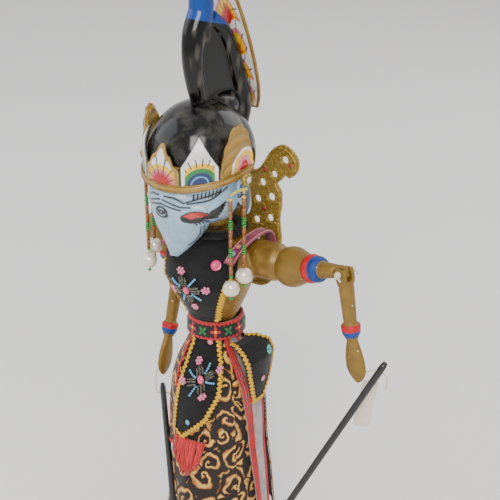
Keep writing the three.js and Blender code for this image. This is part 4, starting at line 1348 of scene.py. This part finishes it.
def make_ears():
    for name, side in SIDES.items():
        turn = Matrix.Translation(Vector((side * 42, -20, 318))) @ Matrix.Rotation(side * math.pi / 2, 4, "Y")
        bits, glass = Bits(), Bits()
        bits.turned([(0, 4), (2.6, 3.9), (3, 3.2), (4.2, 2.6), (4.3, 0.8), (3.6, 0), (0, 0)], GOLD, 36, turn)
        for k in range(14):
            a = 2 * math.pi * k / 14
            glass.ball(turn @ Vector((3.5 * math.cos(a), 3.5 * math.sin(a), 3)), 0.6, LIME if k % 2 else YELLOW, 8, 6)
        glass.ball(turn @ Vector((0, 0, 3.6)), (1.2, 2.4, 2.4), lin(0xcfd6d8), 8, 5)
        bits.make(f"ear_stud_{name}", M["gold"], "head", "gold_paint", (f"ear_jewel_{name}",))
        glass.make(f"ear_stones_{name}", M["beads"], "head", "beads")
        thread = smooth_route([(side * 40.5, -18.5, 307.6), (side * 41.5, -20, 311), (side * 44, -20, 311.6),
                               (side * 40, -24.5, 310.5), (side * 37, -28, 307.6)], 8)
        loop = Bits()
        loop.tube(thread, 0.9, YELLOW, 10)
        loop.make(f"ear_loop_{name}", M["yellow"], f"ear_thread_{name}", "cord", (f"ear_thread_{name}",))


def make_strands():
    """Threaded bugles and seed beads with a pearl at the end of each strand."""
    for name, side in SIDES.items():
        for part, (x, y, pearl_z) in STRANDS.items():
            body = f"strand_{name}_{part}"
            x = side * x
            beads, pearl = Bits(), Bits()
            z, k = STRAND_TOP_Z - 1, 0
            while z > pearl_z + PEARL_R + 2:
                if k % 6 > 1:
                    beads.ball((x + 0.2 * math.sin(9 * k), y, z - 0.9), (1.5, 1.5, 0.95), LIME, 12, 8)
                    z -= 1.75
                else:
                    low = max(z - 6.4, pearl_z + PEARL_R)
                    beads.tube([Vector((x, y, z - 0.1)), Vector((x, y, low + 0.1))], 1.3, AMBER, 12)
                    z = low
                k += 1
            beads.tube([Vector((x, y, STRAND_TOP_Z + 0.4)), Vector((x, y, pearl_z - 7))], 0.45, YELLOW, 6)
            beads.ball((x, y, STRAND_TOP_Z - 0.2), (1.4, 1.4, 1.2), YELLOW, 12, 8)
            beads.ball((x, y, pearl_z - PEARL_R - 1.4), (1.3, 1.3, 1.1), LIME, 12, 8)
            arc = [(PEARL_BALL * math.sin(a), PEARL_BALL * math.cos(a)) for a in np.linspace(0, math.pi, 19)]
            pearl.turned(arc[::-1], WHITE, 32, Matrix.Translation(Vector((x, y, pearl_z))))
            end = f"{name}_{part}"
            strand = beads.make(f"strand_beads_{end}", M["beads"], body, "beads", (f"bead_strand_{end}",))
            drop = pearl.make(f"strand_pearl_{end}", M["pearl"], body, "pearl", (f"pearl_{end}",))
            for piece in (strand, drop):
                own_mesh(piece)


# ---- arms, rods, strings, stand -------------------------------------------------------------------
def segment(start, end, elbow_axis):
    """Matrix with Z from start to end and X along the elbow's axis."""
    z = (end - start).normalized()
    x = (elbow_axis - z * elbow_axis.dot(z)).normalized()
    y = z.cross(x)
    return Matrix(((x.x, y.x, z.x, start.x), (x.y, y.y, z.y, start.y), (x.z, y.z, z.z, start.z), (0, 0, 0, 1)))


ELBOW_AXIS = {"left": Vector((0.19283, 0.9797, 0.05479)), "right": Vector((-0.99308, -0.11731, -0.00567))}


def make_arm(name):
    """Upper arm, forearm and hand, with painted bands and cords at the joints."""
    side = SIDES[name]
    shoulder = Vector((side * SHOULDER.x, SHOULDER.y, SHOULDER.z))
    elbow, tip, axis = ELBOW[name], HAND_TIP[name], ELBOW_AXIS[name]
    upper, lower = segment(shoulder, elbow, axis), segment(elbow, tip, axis)
    reach, fore = (elbow - shoulder).length, (tip - elbow).length
    wrist = fore - HAND_LENGTH
    bits = Bits()
    bits.ball(shoulder, BALL_R, WHITE, 40, 26)
    heights = [0, 4, 8, 13, 17, 17.6, 20, 22.6, 23.4, 26, 28.6, 29.4, reach * 0.72, reach - 8, reach - 7]
    radii = [13.6, 13.2, 12, 10.2, 8.6, 9.6, 10, 9, 8.7, 9, 7.6, 5.4, 5.2, 4.7, 3.8]
    bits.tube([upper @ Vector((0, 0, z)) for z in heights], radii, WHITE, 32)
    bits.rings(tongue(upper, reach - 9, reach + 2.6, 1.7, 4.4), WHITE)
    arm = carved(bits, f"upper_arm_carving_{name}", 0.5, 4, M["bands"], f"upper_arm_{name}", "gold_paint",
                 (f"upper_arm_{name}",))
    paint_bands(arm, upper, ((17.3, 23, RED), (23, 29.2, BLUE)))
    bits = Bits()
    for cheek in (1, -1):
        bits.rings(tongue(lower, -2.6, 9, 1.25, 4.3, cheek * 3.5), WHITE)
    heights = [5.6, 8, 12, wrist * 0.5, wrist - 10, wrist - 8, wrist - 6.8, wrist - 2.2, wrist - 1, wrist + 2]
    radii = [4.6, 4.9, 5.1, 4.8, 4.4, 6.5, 6.6, 6, 5.2, 4]
    bits.tube([lower @ Vector((0, 0, z)) for z in heights], radii, WHITE, 32)
    add_hand(bits, lower, wrist)
    hand = carved(bits, f"forearm_carving_{name}", 0.4, 3, M["bands"], f"forearm_{name}", "gold_paint",
                  (f"forearm_{name}",))
    paint_bands(hand, lower, ((wrist - 9, wrist - 4.6, RED), (wrist - 4.6, wrist - 0.2, BLUE)))
    cords = Bits()
    cords.tube([lower @ Vector((s, 0, 0)) for s in (-7.4, 0, 7.4)], 1.1, WHITE, 12)
    for s in (-1, 1):
        for k, r in ((0, 2.3), (1.3, 1.6)):
            cords.ball(lower @ Vector((s * (6.4 + k), 0.4 * k, 0.5 * k)), r, WHITE, 14, 9)
        tail = [lower @ Vector((s * x, y, z)) for x, y, z in ((7.2, 0, 0), (8.2, 2.2, 1.4), (8.0, 3.6, 3.6))]
        cords.tube(tail, [0.8, 0.7, 0.6], WHITE, 8)
    cords.make(f"elbow_cord_knots_{name}", M["cord"], f"forearm_{name}", "cord", (f"elbow_cord_{name}",))
    knot = Bits()
    inner = Vector((side * STUB_END_X, SHOULDER.y, SHOULDER.z))
    knot.ball(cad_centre(f"shoulder_cord_{name}"), 3.0, WHITE, 14, 10)
    knot.tube([inner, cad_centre(f"shoulder_cord_{name}")], 0.9, WHITE, 8)
    knot.make(f"shoulder_knot_{name}", M["cord"], f"shoulder_cord_{name}", "cord", (f"shoulder_cord_{name}",))


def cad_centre(node):
    low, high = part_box(node)
    return (Vector(low) + Vector(high)) * (0.5 / MM)


def tongue(place, z0, z1, half, wide, offset=0.0):
    """Flat rounded cheek of an elbow, from z0 to z1 along the limb."""
    rings = []
    for t in np.linspace(0, 1, 9):
        z = z0 + (z1 - z0) * t
        w = wide * (0.55 + 0.45 * math.sin(math.pi * (0.12 + 0.76 * t)))
        corners = ((-1, -1), (1, -1), (1, 1), (-1, 1))
        rings.append([place @ Vector((offset + sx * half, sy * w, z)) for sx, sy in corners])
    return rings


def add_hand(bits, place, wrist):
    """Closed hand carved as one flat bud: it widens past the wrist and comes to a blunt point."""
    palm = [(-1, 3.4, 2.6), (4, 4.6, 3), (10, 6.6, 3.4), (17, 8.2, 3.5), (24, 8.4, 3.2), (28, 6.9, 2.7),
            (31.5, 4, 2), (33.6, 1.4, 1)]
    rings = []
    for s, wide, thick in palm:
        rings.append([place @ Vector((thick * math.cos(a), wide * math.sin(a) + 0.03 * s, wrist + s))
                      for a in np.linspace(0, 2 * math.pi, 41)[:-1]])
    bits.rings(rings, WHITE)


def paint_bands(piece, place, bands):
    """Gold over the limb, painted rings, and small chips where the pale ground shows."""
    points = vertices_of(piece)
    back = np.array(place.inverted())
    height = points @ back[2, :3] + back[2, 3]
    colours = np.tile(np.array(lin(0x846524)), (len(points), 1))
    chip = np.sin(points[:, 0] * 0.55 + 2) * np.sin(points[:, 1] * 0.6 + 1) * np.sin(points[:, 2] * 0.5)
    colours[chip > 0.93] = lin(0xd8cfae)
    for low, high, tone in bands:
        colours[(height > low) & (height < high)] = tone
    paint_vertices(piece, colours)


def make_rods():
    for name, (top, foot) in ROD.items():
        way = (foot - top).normalized()
        length = (foot - top).length
        steps = np.linspace(0, 1, 60)
        length -= 2 * CONTROL_R
        points = [top + way * (length * t) for t in steps]
        radii = [CONTROL_R * min(1.0, 0.7 + 6 * min(t, 1 - t) * 4) * (1 + 0.02 * math.sin(t * 37)) for t in steps]
        bits = Bits()
        bits.tube(points, [min(r, CONTROL_R) for r in radii], WHITE, 24)
        bits.make(f"rod_stick_{name}", M["ebony"], f"control_rod_{name}", "stand_wood", (f"control_rod_{name}",))


def make_strings():
    """The cords that tie each hand to its control rod, and the paper tag on the left one."""
    for name, path in STRING.items():
        route = smooth_route(path, 8)
        bits = Bits()
        bits.tube(route, 0.5, WHITE, 12)
        cord = bits.make(f"hand_cord_{name}", M["cord"], f"hand_string_{name}", "cord", (f"hand_string_{name}",))
        knots = Bits()
        for spot, r in ((path[0], 1.0), (path[-1], 0.7)):
            knots.ball(spot, (r, r * 0.85, r), WHITE, 12, 8)
        knot = knots.make(f"hand_cord_knots_{name}", M["cord"], f"hand_string_{name}", "cord")
        if name == "left":
            make_tag()
        tuple(c * MM for c in path[0])
        route_length(route) * MM


def make_tag():
    """Blank card tag that moves with the left string. Its hole and thread aren't modelled."""
    turn = Matrix.Translation(Vector((118.5, 16, 162.5)))
    turn = turn @ Matrix.Rotation(0.66, 4, "Z") @ Matrix.Rotation(0.15, 4, "Y")

    def place(u, v, lift):
        x, z = (u - 0.5) * 11, (0.5 - v) * 36
        corner = 1.2 * max(0.0, abs(2 * v - 1) - 0.93) / 0.07
        return turn @ Vector((x * (1 - corner * 0.12), -0.3 - lift + 0.5 * math.sin(v * 2.4) * (u - 0.5), z))
    points, faces, colours, uvs = sheet_mesh(place, 12, 40, 0.5)
    return add_object("paper_tag_card", points, faces, M["paper"], "hand_string_left", None, uvs,
                      ("paper_tag",))


def make_stand():
    bits = Bits()
    disc = [(0, 0.0), (44, 0), (45, 1.2), (45, 12), (43.6, 14.6), (41, 15.6), (40, 17), (37, 18), (0, 18)]
    bits.turned(disc, WHITE, 128)
    bits.make("stand_disc", M["wood"], "stand", "stand_wood", ("stand_base",))
    socket = Bits()
    outer = [(15, 18.35), (15, 22), (13.2, 24), (12.6, 28), (13.6, 33), (15, 36), (14.6, 39), (13, 40)]
    wall = [*outer, (9.2, 40), (8.55, 39.2), (8.55, 18.35)]
    sides = 96
    turn = np.linspace(0, 2 * math.pi, sides + 1)[:-1]
    points = [Vector((r * math.cos(a), r * math.sin(a), z)) for r, z in wall for a in turn]
    faces = []
    for k in range(len(wall)):
        low, high = k * sides, (k + 1) % len(wall) * sides
        faces += [(low + i, low + (i + 1) % sides, high + (i + 1) % sides, high + i) for i in range(sides)]
    socket.shape(points, faces, WHITE)
    sharpen(socket.make("stand_cup", M["wood"], "stand", "stand_wood", ("stand_socket",)), 50)
    rod = Bits()
    stick = [(0, 18.4), (7.4, 18.4), (8, 19.4), (8, 168), (7.2, 173), (4.8, 174), (4.8, 291), (4, 292), (0, 292)]
    rod.turned(stick, WHITE, 64)
    rod.make("head_rod_stick", M["wood"], "head", "stand_wood", ("head_rod",))


make_camera()
make_strings()
make_stage()
make_stand()
make_torso()
make_bodice()
make_collar()
make_belt()
make_skirt()
make_sashes()
make_apron()
make_fringe()
make_flaps()
make_praba()
make_straps()
make_head()
make_hair()
make_hair_loop()
make_crest()
make_tiara()
make_ears()
make_strands()
for arm_name in SIDES:
    make_arm(arm_name)
make_rods()
